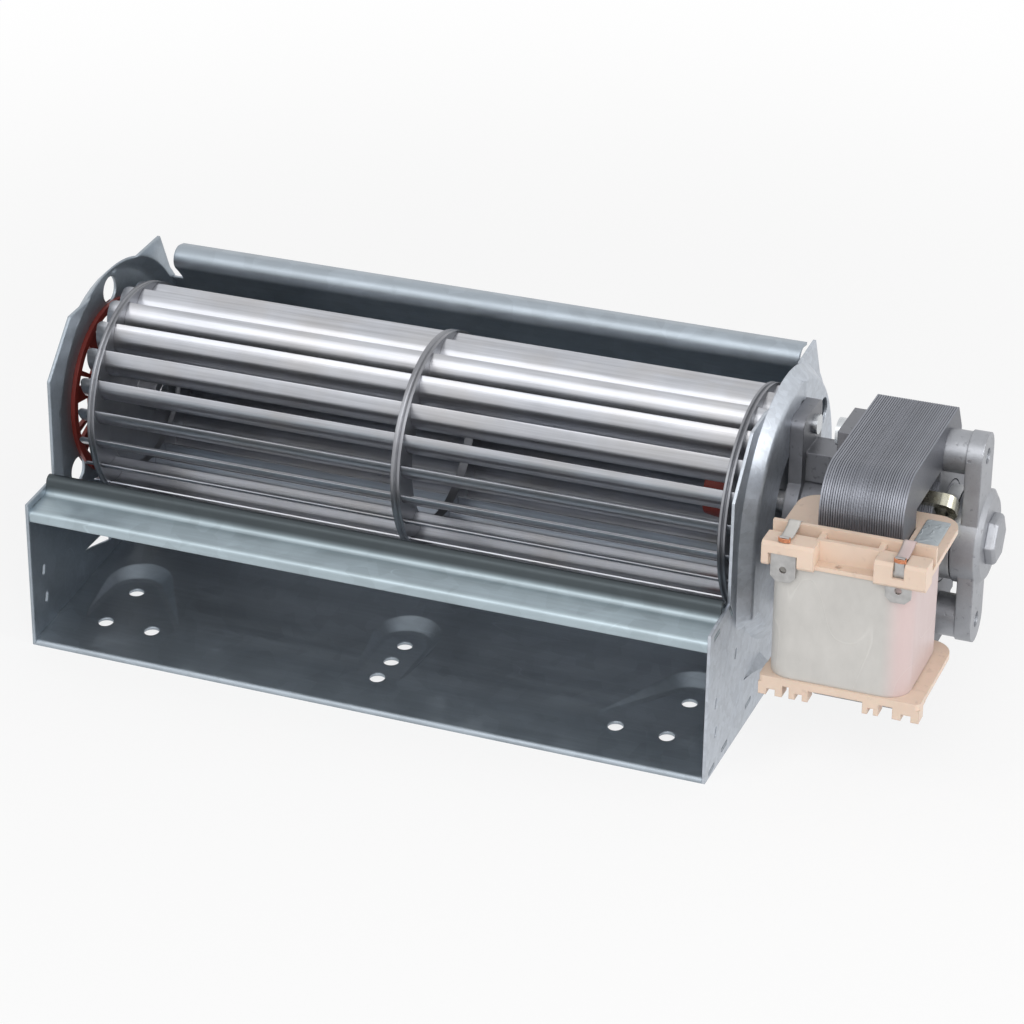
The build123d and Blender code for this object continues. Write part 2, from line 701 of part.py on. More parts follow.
def silicone_coupling():
    web_high = IMPELLER_LENGTH / 2
    web_low = web_high - DISC_WEB
    bore = SHAFT_RADIUS + SEAT_GAP
    seat = DISC_EYE_RADIUS - SEAT_GAP
    body = SHAFT_RADIUS + COUPLING_WALL
    return turned(
        [
            (web_high - COUPLING_INNER, bore),
            (web_high - COUPLING_INNER, body),
            (web_low - COUPLING_BEAD, body + COUPLING_BEAD),
            (web_low - COUPLING_BEAD, seat + COUPLING_FLANGE),
            (web_low - SEAT_GAP, seat + COUPLING_FLANGE),
            (web_low - SEAT_GAP, seat),
            (web_high + SEAT_GAP, seat),
            (web_high + SEAT_GAP, seat + COUPLING_BEAD),
            (web_high + COUPLING_BEAD, seat),
            (web_high + COUPLING_BEAD, bore),
        ]
    )


# Motor: stack of laminations, rotor and shading rings
BORE_RADIUS = ROTOR_RADIUS + ROTOR_GAP
POLE_RADIUS = ARM_UNDERSIDE - POLE_GAP
LEG_BACK = LEG_DEPTH - LEG_FRONT
ARM_NOSE_Y = ARM_END_Y + ARM_CHAMFER[0]
CLAMP_HIGH = STACK_TOP - CLAMP_TOP_INSET
CLAMP_LOW = CLAMP_LOW_INSET - STACK_DROP
CLAMP_PLACES = [(CLAMP_Y, CLAMP_HIGH), (CLAMP_Y, CLAMP_LOW)]


def stator_yoke():
    """Laminated top arm and leg, one bent piece with a round shoulder."""
    points = [
        (-LEG_FRONT, -ARM_UNDERSIDE),
        (-LEG_FRONT, STACK_TOP),
        (ARM_END_Y, STACK_TOP),
        (ARM_NOSE_Y, STACK_TOP - ARM_CHAMFER[1]),
        (ARM_NOSE_Y, ARM_UNDERSIDE),
        (LEG_BACK, ARM_UNDERSIDE),
        (LEG_BACK, -ARM_UNDERSIDE),
    ]
    outline = make_face(Polyline(*[(y, AXIS_HEIGHT + z) for y, z in points], close=True))
    corners = outline.vertices()
    shoulder = corners.sort_by_distance((-LEG_FRONT, AXIS_HEIGHT + STACK_TOP))[0]
    outline = fillet(shoulder, SHOULDER_RADIUS)
    stack = section(outline, STACK_LOW, STACK_HIGH)
    return stack - bar(SCREW_RADIUS + SLOT_GAP, STACK_LOW, STACK_HIGH, *CLAMP_PLACES[0])


def stator_poles():
    """Laminated pole ring round the rotor with the bottom arm that meets the leg."""
    heel_points = [
        (-LEG_FRONT, -STACK_DROP),
        (ARM_END_Y, -STACK_DROP),
        (ARM_NOSE_Y, ARM_CHAMFER[1] - STACK_DROP),
        (ARM_NOSE_Y, -ARM_UNDERSIDE),
        (-LEG_FRONT, -ARM_UNDERSIDE),
    ]
    heel = make_face(Polyline(*heel_points, close=True))
    corner = heel.vertices().sort_by_distance(heel_points[0])[0]
    heel = fillet(corner, HEEL_RADIUS)
    necks = Rectangle(POLE_RADIUS, 2 * ARM_UNDERSIDE)
    outline = Circle(POLE_RADIUS) + heel + necks - Circle(BORE_RADIUS)
    pole_wall = POLE_RADIUS - BORE_RADIUS
    for side in (-1, 1):
        outline -= Pos(side * POLE_RADIUS, 0) * Rectangle(pole_wall, POLE_SPLIT)
    width, thickness = SHADING_BAR
    for angle in SHADING_ANGLES:
        slot = Rectangle(4 * thickness, width + 2 * SLOT_GAP)
        outline -= Rot(0, 0, angle) * Pos(BORE_RADIUS + thickness, 0) * slot
    stack = section(Pos(0, AXIS_HEIGHT) * outline, STACK_LOW, STACK_HIGH)
    return stack - bar(SCREW_RADIUS + SLOT_GAP, STACK_LOW, STACK_HIGH, *CLAMP_PLACES[1])


def shading_rings():
    """Flat copper bars bent round the tips of the poles, one pair for each pole."""
    width, thickness = SHADING_BAR
    inner_reach = BORE_RADIUS + thickness / 2 + SLOT_GAP
    outer_reach = POLE_RADIUS + thickness / 2 + SLOT_GAP
    length = STACK_LENGTH + 2 * SHADING_STAND_OUT
    middle = Plane.XZ * Pos(STACK_MIDDLE, (inner_reach + outer_reach) / 2)
    depth = outer_reach - inner_reach
    bent = RectangleRounded(length + thickness, depth + thickness, SHADING_CORNER)
    inside = RectangleRounded(length - thickness, depth - thickness, SHADING_CORNER - thickness)
    ring = extrude(middle * (bent - inside), width / 2, both=True)
    return Compound([Pos(0, 0, AXIS_HEIGHT) * Rot(angle - 90, 0, 0) * ring for angle in SHADING_ANGLES])


def rotor_core():
    return bar(ROTOR_RADIUS, STACK_LOW, STACK_HIGH) - bar(SHAFT_RADIUS + SEAT_GAP, STACK_LOW, STACK_HIGH)


def rotor_cage():
    """Cast end rings of the rotor."""
    rings = []
    for low in (STACK_LOW - CAGE_RING, STACK_HIGH):
        ring = bar(ROTOR_RADIUS - ROTOR_ROOM, low, low + CAGE_RING)
        rings.append(ring - bar(CAGE_EYE_RADIUS, low, low + CAGE_RING))
    return Compound(rings)


ARM_LOW = STACK_HIGH + OUTER_POST
ARM_HIGH = ARM_LOW + OUTER_ARM
HEX_HIGH = ARM_HIGH + HUB_OUTER_STEP + HEX_LENGTH
SHAFT_END_HIGH = ARM_HIGH


def motor_shaft():
    low = IMPELLER_LENGTH / 2 - COUPLING_INNER + SHAFT_PROUD
    return chamfer(bar(SHAFT_RADIUS, low, SHAFT_END_HIGH).edges(), SHAFT_RADIUS / 8)


MOTOR_BUSH_OUTER = SHAFT_RADIUS + RUNNING_GAP + BUSH_WALL
INNER_BUSH_LOW = DISH_FACE + SHAFT_PROUD
OUTER_BUSH_HIGH = HEX_HIGH - BUSH_CAP


def motor_bush(x_low):
    x_high = x_low + MOTOR_BUSH_LENGTH
    return bar(MOTOR_BUSH_OUTER, x_low, x_high) - bar(SHAFT_RADIUS + RUNNING_GAP, x_low, x_high)


def inner_bearing_bush():
    return motor_bush(INNER_BUSH_LOW)


def outer_bearing_bush():
    return motor_bush(OUTER_BUSH_HIGH - MOTOR_BUSH_LENGTH)


def inner_motor_bracket():
    """Die-cast spider: riveted foot, bearing hub and two bridges to the stack."""
    foot_high = DISH_FACE + BRACKET_FOOT
    foot_top = RIVET_HEIGHT + 2 * RIVET_HEAD_RADIUS
    casting = block((DISH_FACE, foot_high), BRACKET_FOOT_Y, (-foot_top, foot_top))
    casting = fillet(casting.edges().filter_by(Axis.X), BRACKET_CORNER)
    hub_high = INNER_BUSH_LOW + MOTOR_BUSH_LENGTH
    casting += bar(BRACKET_HUB_RADIUS + BRACKET_FLANGE, DISH_FACE, foot_high)
    casting += bar(BRACKET_HUB_RADIUS, DISH_FACE, hub_high)
    pad_low = STACK_LOW - CLAMP_PAD
    for y, height in CLAMP_PLACES:
        side = 1 if height > 0 else -1
        bridge_z = sorted((side * BRIDGE_BOTTOM, side * BRIDGE_TOP))
        casting += block((DISH_FACE, STACK_LOW), BRIDGE_Y, bridge_z)
        pad_z = sorted((side * BRIDGE_TOP, height + side * CLAMP_PAD_EDGE))
        casting += block((pad_low, STACK_LOW), CLAMP_PAD_Y, pad_z)
        casting -= bar(SCREW_RADIUS + SLOT_GAP, pad_low, STACK_LOW, y, height)
        casting -= bar(RIVET_RADIUS + SLOT_GAP, DISH_FACE, foot_high, RIVET_Y, side * RIVET_HEIGHT)
    casting -= bar(SHAFT_RADIUS + SHAFT_PROUD, DISH_FACE, hub_high)
    casting -= bar(ROTOR_RADIUS + ROTOR_ROOM, STACK_LOW - CAGE_RING - SHADING_BAR[1], STACK_LOW)
    for angle in SHADING_ANGLES:
        casting -= shading_pocket(angle)
    return casting - bar(MOTOR_BUSH_OUTER + SEAT_GAP, INNER_BUSH_LOW, hub_high)


def shading_pocket(angle):
    """Room for the inner bend of a shading ring in the bracket beside it."""
    width, thickness = SHADING_BAR
    low = STACK_LOW - SHADING_STAND_OUT - thickness
    radii = (BORE_RADIUS - thickness, POLE_RADIUS + 2 * thickness)
    room = Plane.YZ.offset(low) * Pos(0, AXIS_HEIGHT) * Rot(0, 0, angle) * Pos(sum(radii) / 2, 0)
    return extrude(room * Rectangle(radii[1] - radii[0], 2 * width), STACK_LOW - low)


def outer_motor_bracket():
    """Die-cast bar with two posts on the stack and a hexagonal bearing boss."""
    end = OUTER_POST_RADIUS + OUTER_ARM_EDGE
    ends = [Pos(y, height) * Circle(end) for y, height in CLAMP_PLACES]
    hull = make_hull([edge for disc in ends for edge in disc.edges()])
    casting = section(Pos(0, AXIS_HEIGHT) * hull, ARM_LOW, ARM_HIGH)
    hub_low = ARM_LOW - HUB_INNER_STEP
    hub_high = ARM_HIGH + HUB_OUTER_STEP
    casting += turned(
        [
            (hub_low, 0),
            (hub_low, OUTER_HUB_RADIUS),
            (ARM_HIGH, OUTER_HUB_RADIUS),
            (hub_high, OUTER_HUB_RADIUS - HUB_TAPER),
            (hub_high, 0),
        ]
    )
    hexagon = Pos(0, AXIS_HEIGHT) * RegularPolygon(HEX_ACROSS / 2, 6, major_radius=False)
    casting += section(hexagon, ARM_HIGH, HEX_HIGH)
    casting = chamfer(casting.faces().sort_by(Axis.X)[-1].edges(), HEX_EDGE)
    for y, height in CLAMP_PLACES:
        casting += bar(OUTER_POST_RADIUS, STACK_HIGH, ARM_LOW, y, height)
        casting -= bar(SCREW_RADIUS + SLOT_GAP, STACK_HIGH, ARM_HIGH, y, height)
    return casting - bar(MOTOR_BUSH_OUTER + SEAT_GAP, hub_low, OUTER_BUSH_HIGH)


def clamp_screws():
    """Two screws that clamp both brackets on the stack."""
    screws = []
    low = STACK_LOW - CLAMP_PAD
    for place in CLAMP_PLACES:
        head = bar(SCREW_HEAD_RADIUS, low - SCREW_HEAD, low, *place)
        shank = bar(SCREW_RADIUS, low, ARM_HIGH - OUTER_ARM_EDGE, *place)
        screws.append(head + shank)
    return Compound(screws)


def bracket_rivets():
    """Two rivets that hold the inner bracket on the right side plate."""
    rivets = []
    low = DISH_FACE - SHEET
    high = DISH_FACE + BRACKET_FOOT
    for side in (-1, 1):
        place = (RIVET_Y, side * RIVET_HEIGHT)
        rivet = bar(RIVET_RADIUS, low, high, *place)
        rivet += bar(RIVET_HEAD_RADIUS, high, high + RIVET_HEAD, *place)
        rivet += bar(RIVET_HEAD_RADIUS, low - RIVET_HEAD, low, *place)
        rivets.append(rivet)
    return Compound(rivets)


# Coil: moulded bobbin on the leg, winding, tape and two spade terminals
TUBE_X = (STACK_LOW - BOBBIN_GAP, STACK_HIGH + BOBBIN_GAP)
TUBE_Y = (-LEG_FRONT - BOBBIN_GAP, LEG_BACK + BOBBIN_GAP)
DECK_TOP = ARM_UNDERSIDE - DECK_DROP
BOBBIN_LOW = BOBBIN_LIFT - ARM_UNDERSIDE
FLANGE_X = (STACK_MIDDLE - FLANGE_LENGTH / 2, STACK_MIDDLE + FLANGE_LENGTH / 2)
FLANGE_Y = (TUBE_Y[0] - FLANGE_FRONT, TUBE_Y[1] + FLANGE_BACK)
RAIL_Y = FLANGE_Y[0] + RAIL_SETBACK
WALL_Y = FLANGE_Y[0] + WALL_SETBACK
LEDGE_TOP = DECK_TOP - LEDGE_DROP
LEDGE_LOW = LEDGE_TOP - BOBBIN_WALL
BLOCK_FRONT = FLANGE_Y[0] - BLOCK_REACH
BLOCK_TOP = DECK_TOP + BLOCK_RISE
TERMINAL_Y = FLANGE_Y[0] - TERMINAL_SETBACK
TERMINAL_LOW = DECK_TOP - TERMINAL_DROP
TERMINAL_TOP = DECK_TOP + TERMINAL_RISE


def grown(span, amount):
    return (span[0] - amount, span[1] + amount)


def rounded_slab(x_span, y_span, z_span, radius):
    """Box between limits with rounded upright corners."""
    return fillet(block(x_span, y_span, z_span).edges().filter_by(Axis.Z), radius)


def leg_hole(grow=0.0):
    return block(grown(TUBE_X, grow), grown(TUBE_Y, grow), (-STACK_DROP, STACK_TOP))


def terminal_middles():
    """Middle of each terminal: under its block, between the two halves on the right."""
    left = FLANGE_X[0] + LEFT_BLOCK / 2 - TERMINAL_SHIFT
    right = FLANGE_X[1] - RIGHT_BLOCK / 2
    return (left, right)


def bobbin_head():
    """Top flange with its rail, trough, ribs, ledge and terminal blocks."""
    deck_z = (DECK_TOP - FLANGE, DECK_TOP)
    wall_back = WALL_Y + BOBBIN_WALL
    wall_top = DECK_TOP + WALL_RISE
    head = rounded_slab(FLANGE_X, (RAIL_Y, FLANGE_Y[1]), deck_z, FLANGE_CORNER)
    head += block(FLANGE_X, (WALL_Y, RAIL_Y + FLANGE_CORNER), deck_z)
    head += block(FLANGE_X, (RAIL_Y, RAIL_Y + BOBBIN_WALL), (deck_z[0], DECK_TOP + RAIL_RISE))
    ribs = [STACK_MIDDLE + offset for offset in RIBS_X]
    head += block(ribs, (WALL_Y, wall_back), (LEDGE_LOW, wall_top))
    head += block(ribs, (FLANGE_Y[0], wall_back), (LEDGE_LOW, LEDGE_TOP))
    hole_x = STACK_MIDDLE + PEEP_HOLE_PLACE[0]
    hole_y = FLANGE_Y[0] + PEEP_HOLE_PLACE[1]
    head -= Pos(hole_x, hole_y, AXIS_HEIGHT + LEDGE_TOP) * Cylinder(PEEP_HOLE_RADIUS, 4 * BOBBIN_WALL)
    for middle in ribs:
        rib_x = grown((middle, middle), RIB_WIDTH / 2)
        head += block(rib_x, (WALL_Y, RAIL_Y), (deck_z[0], wall_top))
    for x_span in ((FLANGE_X[0], ribs[0]), (ribs[1], FLANGE_X[1])):
        body = block(x_span, (BLOCK_FRONT, wall_back), (LEDGE_LOW, BLOCK_TOP))
        head += chamfer(body.edges().filter_by(Axis.X).sort_by(Axis.Y)[:2], BLOCK_EDGE)
    left, right = terminal_middles()
    gap_x = grown((right, right), BLOCK_SPLIT / 2)
    head -= block(gap_x, (BLOCK_FRONT, WALL_Y), (LEDGE_TOP + BLOCK_FLOOR, BLOCK_TOP))
    mouth_x = grown((left, left), (TERMINAL_WIDTH + BLOCK_EDGE) / 2)
    return head - block(mouth_x, (BLOCK_FRONT, TERMINAL_Y), (LEDGE_LOW, LEDGE_TOP + 2 * BOBBIN_WALL))


def bobbin_foot():
    """Bottom flange with four notched feet under its front edge."""
    foot_z = (BOBBIN_LOW, BOBBIN_LOW + FLANGE)
    base = rounded_slab(FLANGE_X, FLANGE_Y, foot_z, FLANGE_CORNER)
    front_z = grown(foot_z, COIL_FOOT_GAP)
    base += rounded_slab(FLANGE_X, (FLANGE_Y[0], RAIL_Y), front_z, BOBBIN_WALL)
    low = BOBBIN_LOW - FOOT_DROP
    foot_y = (FLANGE_Y[0], FLANGE_Y[0] + FOOT_DEPTH)
    for offset, width in FEET:
        start = STACK_MIDDLE + offset
        foot = block((start, start + width), foot_y, (low, BOBBIN_LOW))
        notch_x = [start + share * width for share in FOOT_NOTCH]
        base += foot - block(notch_x, foot_y, (low, low + FOOT_DROP / 2))
    return base


def coil_bobbin():
    tube = block(grown(TUBE_X, BOBBIN_WALL), grown(TUBE_Y, BOBBIN_WALL), (BOBBIN_LOW, DECK_TOP))
    bobbin = tube + bobbin_head() + bobbin_foot()
    for middle in terminal_middles():
        bobbin -= terminal_blade(middle, SLOT_GAP)
    return bobbin - leg_hole()


def coil_body(inset, gap):
    """Coil between the flanges, lower under the ledge and the blocks in front."""
    x_span = (FLANGE_X[0] + COIL_SIDE_MARGIN + inset, FLANGE_X[1] - COIL_END_MARGIN - inset)
    y_span = (FLANGE_Y[0] + COIL_FRONT_MARGIN + inset, FLANGE_Y[1] - COIL_SIDE_MARGIN - inset)
    z_span = (BOBBIN_LOW + FLANGE + COIL_FOOT_GAP + gap, DECK_TOP - FLANGE - gap)
    body = rounded_slab(x_span, y_span, z_span, COIL_CORNER - inset)
    front = (BLOCK_FRONT, WALL_Y + BOBBIN_WALL + gap)
    return body - block(FLANGE_X, front, (LEDGE_LOW - gap, BLOCK_TOP))


def coil_tape():
    return coil_body(0, SEAT_GAP) - coil_body(TAPE, -1)


def coil_winding():
    return coil_body(TAPE + SEAT_GAP, BOBBIN_GAP) - leg_hole(BOBBIN_WALL + SEAT_GAP)


def terminal_blade(middle, grow=0.0):
    """Spade terminal pushed up through its block, or the room for it when it is grown."""
    half = TERMINAL_THICKNESS / 2 + grow
    y_span = (TERMINAL_Y - half, TERMINAL_Y + half)
    shoulder = DECK_TOP + TERMINAL_SHOULDER
    spade_x = grown((middle, middle), TERMINAL_WIDTH / 2 + grow)
    stem_x = grown((middle, middle), TERMINAL_STEM / 2 + grow)
    spade = block(spade_x, y_span, (TERMINAL_LOW, shoulder + grow))
    stem = block(stem_x, y_span, (shoulder, TERMINAL_TOP))
    if grow:
        return spade + stem
    tip = spade.edges().filter_by(Axis.Y).sort_by(Axis.Z)[:2]
    eye = Pos(middle, TERMINAL_Y, AXIS_HEIGHT + TERMINAL_LOW + TERMINAL_EYE) * Rot(90, 0, 0)
    eye_hole = eye * Cylinder(TERMINAL_EYE_RADIUS, 4 * TERMINAL_THICKNESS)
    return chamfer(tip, TERMINAL_TIP) + stem - eye_hole


def terminal_left():
    return terminal_blade(terminal_middles()[0])


def terminal_right():
    return terminal_blade(terminal_middles()[1])


NODES = [
    scroll_housing,
    vortex_tongue,
    left_side_plate,
    right_side_plate,
    left_bearing_mount,
    left_bearing_bush,
    left_end_disc,
    mid_ring,
    right_end_disc,
    stub_shaft,
    silicone_coupling,
    motor_shaft,
    rotor_core,
    rotor_cage,
    stator_yoke,
    stator_poles,
    shading_rings,
    inner_motor_bracket,
    outer_motor_bracket,
    inner_bearing_bush,
    outer_bearing_bush,
    clamp_screws,
    bracket_rivets,
    coil_bobbin,
    coil_winding,
    coil_tape,
    terminal_left,
    terminal_right,
]

for node in NODES:
    save(node(), node.__name__)

straight_blade = blade()
for number, angle in enumerate(blade_angles(), start=1):
    save(Pos(0, 0, AXIS_HEIGHT) * Rot(angle, 0, 0) * straight_blade, f"blade_{number:02d}")
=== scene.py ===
import math

import bmesh
import bpy
from mathutils import Matrix, Vector


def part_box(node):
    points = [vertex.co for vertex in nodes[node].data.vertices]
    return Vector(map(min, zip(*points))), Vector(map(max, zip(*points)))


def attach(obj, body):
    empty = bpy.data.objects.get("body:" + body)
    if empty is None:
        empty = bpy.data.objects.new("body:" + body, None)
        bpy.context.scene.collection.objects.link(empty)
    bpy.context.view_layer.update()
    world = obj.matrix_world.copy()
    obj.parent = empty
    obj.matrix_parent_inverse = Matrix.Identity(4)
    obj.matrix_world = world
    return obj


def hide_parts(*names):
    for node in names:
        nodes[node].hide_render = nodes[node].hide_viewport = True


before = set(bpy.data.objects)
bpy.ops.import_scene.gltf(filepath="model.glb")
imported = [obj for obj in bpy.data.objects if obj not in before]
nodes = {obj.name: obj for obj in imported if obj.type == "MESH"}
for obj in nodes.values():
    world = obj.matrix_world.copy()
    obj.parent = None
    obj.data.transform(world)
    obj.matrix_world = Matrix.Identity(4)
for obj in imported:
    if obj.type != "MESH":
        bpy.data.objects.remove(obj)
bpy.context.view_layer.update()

MM = 0.001
SHAFT_HEIGHT = 52.5 * MM


# Scroll housing: one folded sheet of zinc coated steel with a lip, a sloping floor, a round
# back wall and a rolled top flange. Its tabs pass through slots in the two side plates.
class Field:
    """A shader socket that joins in Python sums; each step adds its own Math node."""

    def __init__(self, wiring, socket):
        self.wiring = wiring
        self.socket = socket

    def math(self, operation, *values):
        inputs = dict(enumerate(values))
        return self.wiring.node("ShaderNodeMath", {"operation": operation}, inputs)

    def __add__(self, other):
        return self.math("ADD", self, other)

    def __sub__(self, other):
        return self.math("SUBTRACT", self, other)

    def __rsub__(self, other):
        return self.math("SUBTRACT", other, self)

    def __mul__(self, other):
        return self.math("MULTIPLY", self, other)

    def larger(self, other):
        return self.math("MAXIMUM", self, other)

    def above(self, edge, soft):
        """0 under the edge, 1 over it, and a soft step between."""
        settings = {"interpolation_type": "SMOOTHSTEP"}
        inputs = {"Value": self, "From Min": edge - soft, "From Max": edge + soft}
        return self.wiring.node("ShaderNodeMapRange", settings, inputs)

    def within(self, low, high):
        """The field, which runs from 0 to 1, spread between two other values."""
        return self * (high - low) + low

    def ridges(self, width):
        """Thin lines where a noise field crosses its middle value, such as creases."""
        away = self.math("ABSOLUTE", self - 0.5)
        return 1 - away.above(width, width)


class Wiring:
    """The nodes of one tree. Each node gets its settings first, then its values or links."""

    def __init__(self, tree):
        self.tree = tree

    def node(self, kind, settings=None, inputs=None, output=0):
        made = self.tree.nodes.new(kind)
        for key, value in (settings or {}).items():
            setattr(made, key, value)
        for key, value in (inputs or {}).items():
            self.join(made.inputs[key], value)
        return Field(self, made.outputs[output])

    def join(self, socket, value):
        if isinstance(value, Field):
            self.tree.links.new(value.socket, socket)
        else:
            socket.default_value = value


# The Mix node numbers its colour sockets after those for single values and vectors.
MIX_COLOUR_A = 6
MIX_COLOUR_B = 7
MIX_COLOUR_OUT = 2
EDGE_SAMPLES = 4


class Finish(Wiring):
    """A surface finish: one material, its node tree and its Principled shader."""

    def __init__(self, name, colour, **shader):
        self.material = bpy.data.materials.new(name)
        self.material.use_nodes = True
        super().__init__(self.material.node_tree)
        self.shader = self.tree.nodes["Principled BSDF"]
        self.colour = colour
        self.material.diffuse_color = (*colour, 1)
        self.feed("Base Color", (*colour, 1))
        for socket, value in shader.items():
            self.feed(socket.replace("_", " "), value)
        self.place = self.node("ShaderNodeTexCoord", output="Object")

    def feed(self, socket, value):
        self.join(self.shader.inputs[socket], value)

    def along(self, axis):
        """One object coordinate, X, Y or Z, as a field in metres."""
        return self.node("ShaderNodeSeparateXYZ", None, {"Vector": self.place}, axis)

    def stretched(self, along_x, along_y, along_z):
        """Object coordinates drawn out for streaks; a small number is a long streak."""
        scale = {0: self.place, 1: (along_x, along_y, along_z)}
        return self.node("ShaderNodeVectorMath", {"operation": "MULTIPLY"}, scale)

    def noise(self, size, detail=3.0, place=None, rough=0.55):
        """Cloudy noise from 0 to 1 whose patches are about one size across, in metres."""
        inputs = {"Vector": place or self.place, "Scale": 1 / size}
        inputs.update({"Detail": detail, "Roughness": rough})
        return self.node("ShaderNodeTexNoise", None, inputs, "Fac")

    def crystals(self, size):
        """Patches of even tone with sharp edges, as in a zinc coat."""
        inputs = {"Vector": self.place, "Scale": 1 / size}
        cells = self.node("ShaderNodeTexVoronoi", None, inputs, "Color")
        return self.node("ShaderNodeSeparateColor", None, {"Color": cells})

    def mix(self, amount, low, high):
        """A colour between two others; the low one may itself be a mix."""
        start = (*low, 1) if isinstance(low, tuple) else low
        inputs = {"Factor": amount, MIX_COLOUR_A: start, MIX_COLOUR_B: (*high, 1)}
        return self.node("ShaderNodeMix", {"data_type": "RGBA"}, inputs, MIX_COLOUR_OUT)

    def tinted(self, level):
        return tuple(part * level for part in self.colour)

    def shade(self, amount, dark, light):
        """Two brightness values of the finish's own colour, mixed by an amount."""
        return self.mix(amount, self.tinted(dark), self.tinted(light))

    def relief(self, height, depth, edge):
        """Bump of a given depth in metres on edges that are rounded by a given radius."""
        samples = {"samples": EDGE_SAMPLES}
        round_edge = self.node("ShaderNodeBevel", samples, {"Radius": edge}, "Normal")
        inputs = {"Height": height, "Distance": depth, "Strength": 1.0, "Normal": round_edge}
        self.feed("Normal", self.node("ShaderNodeBump", None, inputs))


# Painted shade: how softly the dark band on the tongue's bead fades in, how far up it runs, and
# how dark it is.
PAINTED_SHADE_FADE = 1.3 * MM
PAINTED_SHADE_BAND = 4.6 * MM
PAINTED_SHADE_DARKNESS = 0.08
SCRATCH_BRIGHTNESS = 1.6


def galvanised(name, colour, patch, patch_share, edge, shade_band_from=None):
    """Zinc coat with crystal patches, rolling streaks, smudges and fine handling scratches. Given
    a height, a band of painted shade darkens the colour from that height upwards, less so over
    the crest above it.
    """
    zinc = Finish(name, colour, Metallic=0.9)
    clouds = zinc.noise(18 * MM, 4)
    streaks = zinc.noise(1.0 * MM, 4, zinc.stretched(0.05, 1, 1))
    smudges = zinc.noise(9 * MM, 5).above(0.60, 0.10)
    scratches = zinc.noise(16 * MM, 0, zinc.stretched(0.4, 2.2, 0.7)).ridges(0.003)
    worn = scratches * zinc.noise(25 * MM, 2).above(0.60, 0.05)
    tone = zinc.crystals(patch) * patch_share + clouds * (0.6 - patch_share) + streaks * 0.4
    look = zinc.mix(worn * 0.3, zinc.shade(tone, 0.66, 1.34), zinc.tinted(SCRATCH_BRIGHTNESS))
    # Painted shade: the colour darkens from the given height upwards and is partly lifted again
    # over the crest, in place of the dark reflection in the bead.
    if shade_band_from is not None:
        height = zinc.along("Z")
        top = height.above(shade_band_from + PAINTED_SHADE_BAND, PAINTED_SHADE_FADE / 2)
        film = height.above(shade_band_from, PAINTED_SHADE_FADE) - top * 0.6
        look = zinc.mix(film * 0.9, look, zinc.tinted(PAINTED_SHADE_DARKNESS))
    grain = clouds * 0.6 + streaks * 0.4
    zinc.feed("Base Color", look)
    zinc.feed("Roughness", grain.within(0.34, 0.50) + smudges * 0.08)
    zinc.relief(grain, 0.03 * MM, edge)
    return zinc.material


def dress(node_name, material):
    """Gives a carried-over node its finish."""
    piece = nodes[node_name]
    piece.data.materials.clear()
    piece.data.materials.append(material)


CRYSTAL = 5 * MM
FINE_CRYSTAL = 1.6 * MM

zinc_sheet = galvanised("galvanised_sheet", (0.355, 0.40, 0.445), CRYSTAL, 0.15, 0.8 * MM)
dress("scroll_housing", zinc_sheet)

# Vortex tongue: one folded strip of the same sheet between the wheel and the outlet, held by tabs
# in both side plates. Its finish is a lighter copy of the sheet's, painted light on the panel,
# and the dark band along its bead is painted shade for the dark reflection in the valley under
# the crest.
BEAD_PAINTED_SHADE_FROM = 41.5 * MM
tongue_zinc_painted_light_and_shade = galvanised(
    "galvanised_tongue_painted_light_and_shade", (0.40, 0.475, 0.515), CRYSTAL, 0.15, 0.5 * MM, BEAD_PAINTED_SHADE_FROM
)
dress("vortex_tongue", tongue_zinc_painted_light_and_shade)

# Side plates: pressed from the same sheet, each with a drawn round field and round windows.
# The right one carries the motor, the left one the silicone bearing disc.
# Painted light: the right plate takes a lighter copy of the sheet's finish, for the stronger
# light on its side. The left plate keeps the sheet's own finish.
right_plate_zinc_painted_light = galvanised(
    "galvanised_plate_painted_light", (0.49, 0.525, 0.575), FINE_CRYSTAL, 0.22, 0.3 * MM
)
dress("left_side_plate", zinc_sheet)
dress("right_side_plate", right_plate_zinc_painted_light)


# Wheel blades: thin curved strips of bright sheet with rounded corners, pushed through the
# slotted discs and staked there.
def bright_strip():
    strip = Finish("bright_strip", (0.49, 0.505, 0.545), Metallic=0.95)
    drawn = strip.noise(0.7 * MM, 5, strip.stretched(0.02, 1, 1))
    clouds = strip.noise(14 * MM, 3)
    stains = strip.noise(22 * MM, 3).above(0.55, 0.15)
    clean = strip.shade(drawn * 0.7 + clouds * 0.3, 0.50, 1.50)
    strip.feed("Base Color", strip.mix(stains * 0.35, clean, (0.44, 0.41, 0.38)))
    strip.feed("Roughness", (drawn * 0.6 + clouds * 0.4).within(0.22, 0.39))
    strip.relief(drawn, 0.02 * MM, 0.25 * MM)
    return strip.material


strip_metal = bright_strip()
for name in nodes:
    if name.startswith("blade_"):
        dress(name, strip_metal)


# Wheel discs: two end discs and a middle ring, stamped from sheet with a rolled groove and
# one curved slot for each blade.
def stamped_disc():
    disc = Finish("stamped_disc", (0.27, 0.275, 0.295), Metallic=0.93)
    clouds = disc.noise(6 * MM, 4)
    disc.feed("Base Color", disc.shade(clouds, 0.75, 1.2))
    disc.feed("Roughness", clouds.within(0.28, 0.5))
    disc.relief(clouds, 0.04 * MM, 0.3 * MM)
    return disc.material


disc_metal = stamped_disc()
for name in ("left_end_disc", "mid_ring", "right_end_disc"):
    dress(name, disc_metal)


